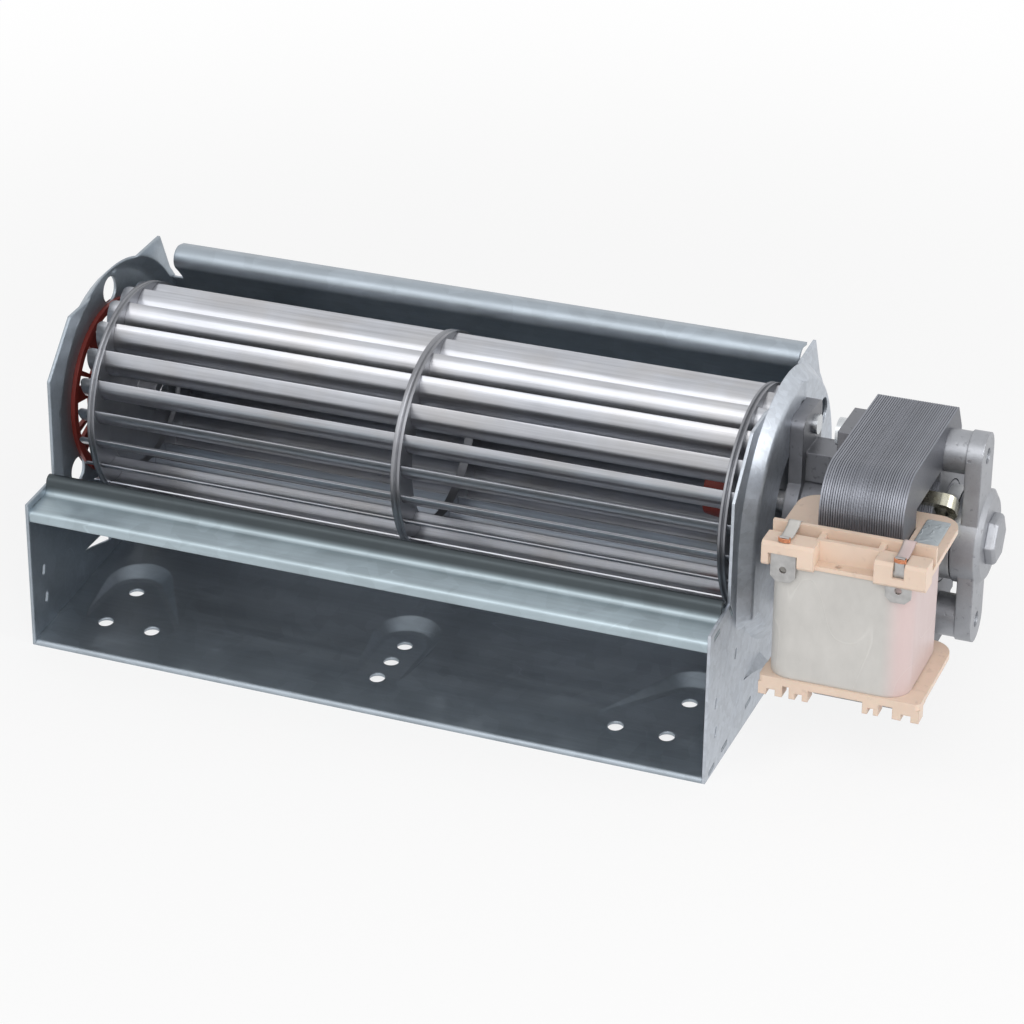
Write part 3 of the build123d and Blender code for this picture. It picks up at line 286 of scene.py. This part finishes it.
# Silicone parts: the slotted bearing disc in the left plate and the hub that joins the
# wheel to the motor shaft, both moulded in dark red silicone.
def red_silicone():
    silicone = Finish("red_silicone", (0.19, 0.022, 0.014), Roughness=0.5)
    dust = silicone.noise(4 * MM, 5)
    silicone.feed("Base Color", silicone.shade(dust, 0.8, 1.35))
    silicone.feed("Roughness", dust.within(0.38, 0.6))
    silicone.relief(silicone.noise(0.5 * MM, 2), 0.02 * MM, 0.3 * MM)
    return silicone.material


silicone_rubber = red_silicone()
dress("left_bearing_mount", silicone_rubber)
dress("silicone_coupling", silicone_rubber)


# Bushes: three short sleeves of sintered bronze, soaked in oil. One is pressed into the
# silicone disc and one into each motor bracket.
def sintered_bronze():
    bronze = Finish("sintered_bronze", (0.22, 0.15, 0.085), Metallic=0.7, Roughness=0.55)
    grain = bronze.noise(0.35 * MM, 3)
    bronze.feed("Base Color", bronze.shade(grain, 0.7, 1.3))
    bronze.relief(grain, 0.03 * MM, 0.2 * MM)
    return bronze.material


bronze_bush = sintered_bronze()
for name in ("left_bearing_bush", "inner_bearing_bush", "outer_bearing_bush"):
    dress(name, bronze_bush)


# Shafts: ground steel. The long one is pressed through the rotor and holds the silicone
# hub, and the short one is riveted in the left disc and turns in the left bush.
def ground_steel():
    steel = Finish("ground_steel", (0.55, 0.55, 0.56), Metallic=1.0)
    turning = steel.noise(0.25 * MM, 2, steel.stretched(1, 0.1, 0.1))
    steel.feed("Base Color", steel.shade(turning, 0.85, 1.1))
    steel.feed("Roughness", turning.within(0.16, 0.3))
    return steel.material


shaft_metal = ground_steel()
dress("motor_shaft", shaft_metal)
dress("stub_shaft", shaft_metal)


# Laminated stacks: punched sheets of electrical steel, one behind the other along the
# shaft. The C-shaped yoke, the pole ring and the rotor core are all stacked this way.
SHEET_PITCH = 0.5866 * MM
SHEET_THICKNESS = 0.47 * MM
STACK_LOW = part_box("stator_yoke")[0][0]


def electrical_steel():
    """Blue-grey sheet edges: each sheet has its own tone and a dark line beside it."""
    steel = Finish("electrical_steel", (0.245, 0.255, 0.29), Metallic=0.8)
    clouds = steel.noise(7 * MM, 5)
    scale = steel.noise(0.5 * MM, 3, steel.stretched(0.4, 1, 1))
    sheet = (steel.along("X") - STACK_LOW) * (1 / SHEET_PITCH)
    number = sheet.math("FLOOR", sheet)
    own_tone = steel.node("ShaderNodeTexWhiteNoise", {"noise_dimensions": "1D"}, {"W": number})
    line = sheet.math("FRACT", sheet).above(0.72, 0.12)
    body = steel.shade(clouds * 0.45 + scale * 0.25 + own_tone * 0.3, 0.72, 1.4)
    steel.feed("Base Color", steel.mix(line * 0.6, body, (0.06, 0.062, 0.07)))
    steel.feed("Roughness", scale.within(0.34, 0.54))
    steel.relief(scale, 0.03 * MM, 0.1 * MM)
    return steel.material


SAME_POINT = 0.001 * MM
SAME_CORNER = 0.002 * MM
SAME_PLANE = 0.01 * MM


def stacking_tree(material):
    """Thickens one punched sheet and repeats it at a pitch along the shaft."""
    tree = bpy.data.node_groups.new("sheet_stack", "GeometryNodeTree")
    face = tree.interface
    face.new_socket("Geometry", in_out="INPUT", socket_type="NodeSocketGeometry")
    face.new_socket("Thickness", in_out="INPUT", socket_type="NodeSocketFloat")
    face.new_socket("Pitch", in_out="INPUT", socket_type="NodeSocketFloat")
    face.new_socket("Sheets", in_out="INPUT", socket_type="NodeSocketInt")
    face.new_socket("Geometry", in_out="OUTPUT", socket_type="NodeSocketGeometry")
    add = tree.nodes.new
    link = tree.links.new
    start = add("NodeGroupInput")
    push = add("ShaderNodeCombineXYZ")
    link(start.outputs["Thickness"], push.inputs["X"])
    thicken = add("GeometryNodeExtrudeMesh")
    thicken.inputs["Offset Scale"].default_value = 1.0
    thicken.inputs["Individual"].default_value = False
    link(start.outputs["Geometry"], thicken.inputs["Mesh"])
    link(push.outputs["Vector"], thicken.inputs["Offset"])
    both = add("GeometryNodeJoinGeometry")
    link(start.outputs["Geometry"], both.inputs["Geometry"])
    link(thicken.outputs["Mesh"], both.inputs["Geometry"])
    closed = add("GeometryNodeMergeByDistance")
    closed.inputs["Distance"].default_value = SAME_POINT
    link(both.outputs["Geometry"], closed.inputs["Geometry"])
    step = add("ShaderNodeCombineXYZ")
    link(start.outputs["Pitch"], step.inputs["X"])
    row = add("GeometryNodeMeshLine")
    link(start.outputs["Sheets"], row.inputs["Count"])
    link(step.outputs["Vector"], row.inputs["Offset"])
    repeat = add("GeometryNodeInstanceOnPoints")
    link(row.outputs["Mesh"], repeat.inputs["Points"])
    link(closed.outputs["Geometry"], repeat.inputs["Instance"])
    real = add("GeometryNodeRealizeInstances")
    link(repeat.outputs["Instances"], real.inputs["Geometry"])
    paint = add("GeometryNodeSetMaterial")
    paint.inputs["Material"].default_value = material
    link(real.outputs["Geometry"], paint.inputs["Geometry"])
    end = add("NodeGroupOutput")
    link(paint.outputs["Geometry"], end.inputs["Geometry"])
    return tree


def made_by(tree, base, name, **sizes):
    """Runs a Geometry Nodes tree on a base mesh and keeps the result as a plain piece."""
    holder = bpy.data.objects.new(name, base)
    bpy.context.scene.collection.objects.link(holder)
    modifier = holder.modifiers.new(name, "NODES")
    modifier.node_group = tree
    for item in tree.interface.items_tree:
        if item.in_out == "INPUT" and item.name in sizes:
            modifier[item.identifier] = sizes[item.name]
    graph = bpy.context.evaluated_depsgraph_get()
    mesh = bpy.data.meshes.new_from_object(holder.evaluated_get(graph))
    holder.modifiers.remove(modifier)
    holder.data = mesh
    return holder


def punched_sheet(node_name):
    """The flat end face of a stack at its low-x side, as one sheet outline."""
    shape = bmesh.new()
    shape.from_mesh(nodes[node_name].data)
    bmesh.ops.remove_doubles(shape, verts=shape.verts, dist=SAME_CORNER)
    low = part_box(node_name)[0][0]
    others = [f for f in shape.faces if any(abs(v.co.x - low) > SAME_PLANE for v in f.verts)]
    bmesh.ops.delete(shape, geom=others, context="FACES")
    mesh = bpy.data.meshes.new(node_name + "_sheet")
    bmesh.ops.recalc_face_normals(shape, faces=shape.faces)
    for face in shape.faces:
        if face.normal.x > 0:
            face.normal_flip()
    shape.to_mesh(mesh)
    shape.free()
    return mesh


STACK_BODIES = {"stator_yoke": "housing", "stator_poles": "housing", "rotor_core": "impeller"}
stack_tree = stacking_tree(electrical_steel())
for name, body in STACK_BODIES.items():
    low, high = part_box(name)
    pitches_long = high[0] - low[0] - SHEET_THICKNESS
    count = int(pitches_long / SHEET_PITCH) + 1
    sizes = {"Thickness": SHEET_THICKNESS, "Pitch": pitches_long / (count - 1), "Sheets": count}
    stack = made_by(stack_tree, punched_sheet(name), name + "_sheets", **sizes)
    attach(stack, body)
    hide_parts(name)


# Rotor cage and shading rings: the end rings that are cast on the rotor, and flat tinned
# copper bars that are bent round the pole tips.
def cast_ring():
    ring = Finish("cast_ring", (0.55, 0.56, 0.57), Metallic=0.9)
    skin = ring.noise(1.5 * MM, 4)
    ring.feed("Base Color", ring.shade(skin, 0.8, 1.15))
    ring.feed("Roughness", skin.within(0.3, 0.5))
    ring.relief(skin, 0.04 * MM, 0.3 * MM)
    return ring.material


def tinned_copper():
    wire = Finish("tinned_copper", (0.62, 0.58, 0.47), Metallic=1.0)
    tarnish = wire.noise(2 * MM, 4)
    wire.feed("Base Color", wire.mix(tarnish, (0.62, 0.62, 0.55), (0.36, 0.33, 0.22)))
    wire.feed("Roughness", tarnish.within(0.18, 0.34))
    return wire.material


dress("rotor_cage", cast_ring())
dress("shading_rings", tinned_copper())


# Motor brackets: two raw die castings that hold the bushes, one riveted on the right plate and
# one on posts outside the stack. The inner one has a darker copy of the finish as painted shade.
def die_casting(name, colour):
    """Raw casting: flow marks, a fine grain, and darker pits where the die is worn."""
    casting = Finish(name, colour, Metallic=0.85)
    flow = casting.noise(5 * MM, 5)
    grain = casting.noise(0.45 * MM, 2)
    pits = casting.noise(1.6 * MM, 3).above(0.66, 0.05)
    skin = casting.shade(flow * 0.7 + grain * 0.3, 0.70, 1.28)
    casting.feed("Base Color", casting.mix(pits * 0.5, skin, casting.tinted(0.45)))
    casting.feed("Roughness", (flow * 0.6 + grain * 0.4).within(0.34, 0.56))
    casting.relief(flow * 0.5 + grain * 0.3 - pits * 0.4, 0.08 * MM, 0.5 * MM)
    return casting.material


outer_casting = die_casting("outer_casting", (0.36, 0.37, 0.395))
# Painted shade: the inner bracket's casting colour is darker, for the shade between the right
# plate and the stack.
dress("inner_motor_bracket", die_casting("inner_casting_painted_shade", (0.21, 0.215, 0.235)))
dress("outer_motor_bracket", outer_casting)


# Bearing boss: the closed hexagon on the end of the outer bracket, cast in one with it.
# It covers the outer end of the bush.
BOSS_ACROSS = 11.5 * MM
BOSS_LENGTH = 2.7 * MM
BOSS_EDGE = 0.6 * MM
BOSS_DRAFT = 0.15 * MM
BOSS_PROUD = 0.02 * MM
BOSS_SOFTNESS = 0.25 * MM
BOSS_SIDES = 6


def hexagon(shape, x, across):
    """A ring of six corners in the plane across the shaft, one flat facing up."""
    radius = across / 2 / math.cos(math.pi / BOSS_SIDES)
    corners = []
    for step in range(BOSS_SIDES):
        turn = 2 * math.pi * step / BOSS_SIDES
        place = (x, radius * math.cos(turn), SHAFT_HEIGHT + radius * math.sin(turn))
        corners.append(shape.verts.new(place))
    return corners


def bearing_boss(material):
    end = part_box("outer_motor_bracket")[1][0]
    shape = bmesh.new()
    stations = [
        (end - BOSS_LENGTH, BOSS_ACROSS + BOSS_DRAFT),
        (end - BOSS_EDGE, BOSS_ACROSS),
        (end + BOSS_PROUD, BOSS_ACROSS - 2 * BOSS_EDGE),
    ]
    rings = [hexagon(shape, x, across) for x, across in stations]
    for low, high in zip(rings, rings[1:]):
        for step in range(BOSS_SIDES):
            ahead = (step + 1) % BOSS_SIDES
            shape.faces.new((low[step], low[ahead], high[ahead], high[step]))
    shape.faces.new(rings[0])
    shape.faces.new(rings[-1])
    bmesh.ops.recalc_face_normals(shape, faces=shape.faces)
    mesh = bpy.data.meshes.new("bearing_boss")
    shape.to_mesh(mesh)
    shape.free()
    mesh.materials.append(material)
    boss = bpy.data.objects.new("bearing_boss", mesh)
    bpy.context.scene.collection.objects.link(boss)
    soft = boss.modifiers.new("soft", "BEVEL")
    soft.width = BOSS_SOFTNESS
    soft.segments = 3
    return boss


boss = bearing_boss(outer_casting)
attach(boss, "housing")


# Screws and rivets: zinc plated steel. Two screws clamp both brackets through the stack,
# and two rivets hold the inner bracket on the right plate.
def plated_steel():
    plating = Finish("zinc_plating", (0.60, 0.62, 0.64), Metallic=1.0)
    wear = plating.noise(1.5 * MM, 3)
    plating.feed("Base Color", plating.shade(wear, 0.8, 1.15))
    plating.feed("Roughness", wear.within(0.2, 0.36))
    return plating.material


fastener_metal = plated_steel()
dress("clamp_screws", fastener_metal)
dress("bracket_rivets", fastener_metal)


# Bobbin: one moulding in a light skin-coloured plastic, with flanges, a trough, blocks for
# the terminals and notched feet.
def bobbin_plastic():
    """Slightly translucent moulding with flow clouds and darker specks of dust."""
    plastic = Finish("bobbin_plastic", (0.75, 0.59, 0.475), Roughness=0.45)
    plastic.feed("Subsurface Weight", 0.06)
    plastic.feed("Subsurface Scale", 1.5 * MM)
    clouds = plastic.noise(9 * MM, 4)
    grain = plastic.noise(0.4 * MM, 2)
    dust = plastic.noise(2.2 * MM, 4).above(0.66, 0.06)
    clean = plastic.shade(clouds, 0.88, 1.08)
    plastic.feed("Base Color", plastic.mix(dust * 0.35, clean, (0.50, 0.38, 0.30)))
    plastic.feed("Roughness", clouds.within(0.38, 0.54))
    plastic.relief(grain, 0.015 * MM, 0.35 * MM)
    return plastic.material


dress("coil_bobbin", bobbin_plastic())


# Winding and tape: enamelled copper wire, wrapped in a pale insulating film that creases
# round the corners and looks pinkish where it lies on the wire's right side.
WIRE_SPACING = 0.3 * MM


def enamelled_wire():
    """Copper wire under enamel, with one wave of relief for each turn. The colour follows the
    same wave: painted shade between the turns and painted highlight on them.
    """
    wire = Finish("enamelled_wire", (0.42, 0.15, 0.06), Metallic=0.7, Roughness=0.3)
    settings = {"bands_direction": "Z", "wave_profile": "SIN"}
    inputs = {"Vector": wire.place, "Scale": 1 / (2 * math.pi * WIRE_SPACING)}
    turns = wire.node("ShaderNodeTexWave", settings, inputs, "Fac")
    # Painted shade and highlight: darker between the turns, lighter on them.
    wire.feed("Base Color", wire.shade(turns, 0.7, 1.2))
    wire.relief(turns, 0.1 * MM, 0.2 * MM)
    return wire.material


TAPE_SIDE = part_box("coil_tape")[1][0]


def insulating_film():
    """Clouded film with thin creases; its turned side takes a pink tone from the wire."""
    film = Finish("insulating_film", (0.57, 0.555, 0.53), Roughness=0.3)
    clouds = film.noise(12 * MM, 4)
    creases = film.noise(16 * MM, 0, film.stretched(1.5, 1.5, 0.6)).ridges(0.004)
    fine = film.noise(2.4 * MM, 3, film.stretched(1, 1, 0.5))
    turned = film.along("X").above(TAPE_SIDE - 4.5 * MM, 2.5 * MM)
    front = film.shade(clouds * 0.6 + fine * 0.4, 0.80, 1.14)
    blushed = film.mix(turned * 0.85, front, (0.59, 0.45, 0.44))
    film.feed("Base Color", film.mix(creases * 0.15, blushed, (0.80, 0.78, 0.75)))
    film.feed("Roughness", fine.within(0.24, 0.42))
    film.relief(fine * 0.6 + creases * 0.4, 0.10 * MM, 0.5 * MM)
    return film.material


dress("coil_winding", enamelled_wire())
film_finish = insulating_film()
dress("coil_tape", film_finish)


# Lead films: a narrow strip of the insulating film covers each end of the winding where it
# comes over the rail from the deck and goes down into its terminal block.
LEAD_FILM_WIDTH = 3.4 * MM
LEAD_FILM_THICKNESS = 0.25 * MM
DECK_HEIGHT = 69.0 * MM
RAIL_FRONT = -50.2 * MM
RAIL_BACK = -48.7 * MM
RAIL_HEIGHT = 73.7 * MM
BLOCK_ENTRY = 72.65 * MM


def bent_strip(name, middle_x, width, path, thickness, material):
    """A strip of film that follows a path in the side view, with rounded bends."""
    shape = bmesh.new()
    rows = []
    for y, z in path:
        rows.append([shape.verts.new((middle_x + side * width / 2, y, z)) for side in (-1, 1)])
    for (left, right), (next_left, next_right) in zip(rows, rows[1:]):
        shape.faces.new((left, right, next_right, next_left))
    mesh = bpy.data.meshes.new(name)
    shape.to_mesh(mesh)
    shape.free()
    strip = bpy.data.objects.new(name, mesh)
    bpy.context.scene.collection.objects.link(strip)
    mesh.materials.append(material)
    wall = strip.modifiers.new("wall", "SOLIDIFY")
    wall.thickness = thickness
    wall.offset = 0
    soft = strip.modifiers.new("soft", "SUBSURF")
    soft.levels = soft.render_levels = 3
    for face in mesh.polygons:
        face.use_smooth = True
    return strip


for name, node in (("lead_film_left", "terminal_left"), ("lead_film_right", "terminal_right")):
    low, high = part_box(node)
    middle = (low[0] + high[0]) / 2
    stem_back = high[1]
    over_rail = [
        (RAIL_BACK + 2.4 * MM, DECK_HEIGHT + 0.35 * MM),
        (RAIL_BACK + 0.6 * MM, DECK_HEIGHT + 0.9 * MM),
        (RAIL_BACK + 0.35 * MM, RAIL_HEIGHT - 0.6 * MM),
        (RAIL_BACK - 0.2 * MM, RAIL_HEIGHT + 0.35 * MM),
        (RAIL_FRONT + 0.2 * MM, RAIL_HEIGHT + 0.35 * MM),
        (RAIL_FRONT - 0.5 * MM, RAIL_HEIGHT - 0.5 * MM),
        (stem_back + 2.6 * MM, BLOCK_ENTRY + 0.1 * MM),
        (stem_back + 0.5 * MM, BLOCK_ENTRY),
    ]
    strip = bent_strip(name, middle, LEAD_FILM_WIDTH, over_rail, LEAD_FILM_THICKNESS, film_finish)
    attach(strip, "housing")


# Wound leads: the bare copper ends of the winding. Each is wound a few times round the flat
# stem of its terminal, between the block and the film.
LEAD_RADIUS = 0.16 * MM
LEAD_TURNS = 3
LEAD_PITCH = 2.2 * LEAD_RADIUS
COIL_RADIUS = 1.42 * MM
COIL_FLATNESS = 0.47
BELOW_STEM_TOP = 1.25 * MM


def winding_tree(material):
    """Winds a wire round a flat stem: a spiral curve, flattened, swept and set on points."""
    tree = bpy.data.node_groups.new("wound_lead", "GeometryNodeTree")
    face = tree.interface
    face.new_socket("Geometry", in_out="INPUT", socket_type="NodeSocketGeometry")
    for name in ("Radius", "Wire", "Turns", "Height", "Flatness"):
        face.new_socket(name, in_out="INPUT", socket_type="NodeSocketFloat")
    face.new_socket("Geometry", in_out="OUTPUT", socket_type="NodeSocketGeometry")
    add = tree.nodes.new
    link = tree.links.new
    start = add("NodeGroupInput")
    spiral = add("GeometryNodeCurveSpiral")
    spiral.inputs["Resolution"].default_value = 20
    for end in ("Start Radius", "End Radius"):
        link(start.outputs["Radius"], spiral.inputs[end])
    link(start.outputs["Turns"], spiral.inputs["Rotations"])
    link(start.outputs["Height"], spiral.inputs["Height"])
    flat = add("ShaderNodeCombineXYZ")
    flat.inputs["X"].default_value = 1
    flat.inputs["Z"].default_value = 1
    link(start.outputs["Flatness"], flat.inputs["Y"])
    press = add("GeometryNodeTransform")
    link(spiral.outputs["Curve"], press.inputs["Geometry"])
    link(flat.outputs["Vector"], press.inputs["Scale"])
    round_wire = add("GeometryNodeCurvePrimitiveCircle")
    round_wire.inputs["Resolution"].default_value = 8
    link(start.outputs["Wire"], round_wire.inputs["Radius"])
    sweep = add("GeometryNodeCurveToMesh")
    sweep.inputs["Fill Caps"].default_value = True
    link(press.outputs["Geometry"], sweep.inputs["Curve"])
    link(round_wire.outputs["Curve"], sweep.inputs["Profile Curve"])
    place = add("GeometryNodeInstanceOnPoints")
    link(start.outputs["Geometry"], place.inputs["Points"])
    link(sweep.outputs["Mesh"], place.inputs["Instance"])
    real = add("GeometryNodeRealizeInstances")
    link(place.outputs["Instances"], real.inputs["Geometry"])
    paint = add("GeometryNodeSetMaterial")
    paint.inputs["Material"].default_value = material
    link(real.outputs["Geometry"], paint.inputs["Geometry"])
    end = add("NodeGroupOutput")
    link(paint.outputs["Geometry"], end.inputs["Geometry"])
    return tree


def bare_copper():
    copper = Finish("bare_copper", (0.62, 0.27, 0.15), Metallic=0.9)
    tarnish = copper.noise(0.8 * MM, 3)
    copper.feed("Base Color", copper.shade(tarnish, 0.6, 1.2))
    copper.feed("Roughness", tarnish.within(0.22, 0.4))
    return copper.material


stems = []
for node in ("terminal_left", "terminal_right"):
    low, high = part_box(node)
    stems.append(((low[0] + high[0]) / 2, (low[1] + high[1]) / 2, high[2] - BELOW_STEM_TOP))
stem_points = bpy.data.meshes.new("stem_points")
stem_points.from_pydata(stems, [], [])
coil_sizes = {"Radius": COIL_RADIUS, "Wire": LEAD_RADIUS, "Turns": LEAD_TURNS}
coil_sizes.update({"Height": LEAD_TURNS * LEAD_PITCH, "Flatness": COIL_FLATNESS})
leads = made_by(winding_tree(bare_copper()), stem_points, "wound_leads", **coil_sizes)
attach(leads, "housing")


# Deck film: a small plain piece of silvery film, stuck on the right wing of the bobbin's
# deck.
FILM_X = (140.3 * MM, 146.9 * MM)
FILM_Y = (-41.6 * MM, -27.6 * MM)
FILM_THICKNESS = 0.14 * MM


def silver_film():
    silver = Finish("silver_film", (0.50, 0.55, 0.58), Metallic=0.35, Roughness=0.35)
    clouds = silver.noise(3 * MM, 3)
    wrinkles = silver.noise(5 * MM, 2).ridges(0.02)
    silver.feed("Base Color", silver.shade(clouds, 0.85, 1.15))
    silver.relief(clouds * 0.4 + wrinkles, 0.06 * MM, 0.1 * MM)
    return silver.material


film_middle = sum(FILM_X) / 2
film_width = FILM_X[1] - FILM_X[0]
film_path = []
for share in (0, 0.03, 0.5, 0.97, 1):
    film_path.append((FILM_Y[0] + share * (FILM_Y[1] - FILM_Y[0]), DECK_HEIGHT + FILM_THICKNESS))
deck_film = bent_strip(
    "deck_film", film_middle, film_width, film_path, FILM_THICKNESS, silver_film()
)
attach(deck_film, "housing")


# Terminals: two flat spades of tinned brass, stamped with one hole each. They are pushed
# into the bobbin's blocks and hang in front of the coil.
def tinned_spade():
    tin = Finish("tinned_spade", (0.46, 0.455, 0.45), Metallic=0.85)
    stain = tin.noise(1.8 * MM, 4)
    tin.feed("Base Color", tin.shade(stain, 0.65, 1.25))
    tin.feed("Roughness", stain.within(0.25, 0.45))
    tin.relief(stain, 0.03 * MM, 0.2 * MM)
    return tin.material


spade_metal = tinned_spade()
dress("terminal_left", spade_metal)
dress("terminal_right", spade_metal)


# Floor, light and camera: a pale studio floor, soft lamps and the photo's own view.
SHOWN_WHITE = 0.8
CLEAR_OF_SHADOW = 0.40
SHADOW_FADE = 0.2


def seen_ray(wiring):
    """1 for what the camera, a gloss or a clear body shows, 0 for what lights the object."""
    camera_ray = wiring.node("ShaderNodeLightPath", output="Is Camera Ray")
    gloss_ray = wiring.node("ShaderNodeLightPath", output="Is Glossy Ray")
    through_ray = wiring.node("ShaderNodeLightPath", output="Is Transmission Ray")
    return camera_ray.larger(gloss_ray).larger(through_ray)


def paper_floor():
    """White paper that keeps part of the object's shadow."""
    paper = Finish("paper_floor", (0.92, 0.92, 0.92), Roughness=0.9)
    fibre = paper.noise(2 * MM, 2)
    paper.feed("Base Color", paper.shade(fibre, 0.99, 1.01))
    white = paper.node("ShaderNodeEmission", None, {"Color": (1, 1, 1, 1), "Strength": 1.0})
    sheet = Field(paper, paper.shader.outputs[0])
    away = paper.node("ShaderNodeVectorMath", {"operation": "LENGTH"}, {0: paper.place}, "Value")
    whiteness = away.above(CLEAR_OF_SHADOW, SHADOW_FADE).within(SHOWN_WHITE, 1.0)
    blend = {"Fac": seen_ray(paper) * whiteness, 1: sheet, 2: white}
    shown = paper.node("ShaderNodeMixShader", None, blend)
    paper.join(paper.tree.nodes["Material Output"].inputs["Surface"], shown)
    return paper.material


FLOOR_HALF = 3.0
floor_mesh = bpy.data.meshes.new("studio_floor")
corners = [(x * FLOOR_HALF, y * FLOOR_HALF, 0) for x, y in ((-1, -1), (1, -1), (1, 1), (-1, 1))]
floor_mesh.from_pydata(corners, [], [(0, 1, 2, 3)])
floor = bpy.data.objects.new("studio_floor", floor_mesh)
floor_mesh.materials.append(paper_floor())
bpy.context.scene.collection.objects.link(floor)

LIGHT_LEVEL = 0.40
world = bpy.data.worlds.new("studio")
bpy.context.scene.world = world
world.use_nodes = True
sky = Wiring(world.node_tree)
background = world.node_tree.nodes["Background"]
sky.join(background.inputs["Color"], (1, 1, 1, 1))
sky.join(background.inputs["Strength"], seen_ray(sky).within(LIGHT_LEVEL, 1.0))


def aimed(data, place, aim):
    """Puts a lamp or camera at a place, looking at a point."""
    made = bpy.data.objects.new(data.name, data)
    turn = (Vector(aim) - Vector(place)).to_track_quat("-Z", "Y").to_matrix().to_4x4()
    made.matrix_world = Matrix.Translation(place) @ turn
    bpy.context.scene.collection.objects.link(made)
    return made


def soft_lamp(name, place, aim, width, power):
    lamp = bpy.data.lights.new(name, "AREA")
    lamp.size = width
    lamp.energy = power
    aimed(lamp, place, aim)


soft_lamp("key_lamp", (0.35, -1.0, 0.75), (0, 0, 0.04), 0.8, 6.5)
soft_lamp("left_lamp", (-0.45, -0.8, 0.9), (0, 0, 0.06), 0.6, 1.8)
soft_lamp("side_lamp", (1.1, -0.1, 0.45), (0.08, 0, 0.04), 0.6, 5)

CAMERA_PLACE = (306.5 * MM, -711.8 * MM, 427.5 * MM)
CAMERA_AIM = (20.7 * MM, 0, 35.1 * MM)
FOCAL_LENGTH_MM = 113.4
view = bpy.data.cameras.new("photo_view")
view.lens = FOCAL_LENGTH_MM
view.clip_start = 0.01
bpy.context.scene.camera = aimed(view, CAMERA_PLACE, CAMERA_AIM)
bpy.context.scene.view_settings.view_transform = "Standard"
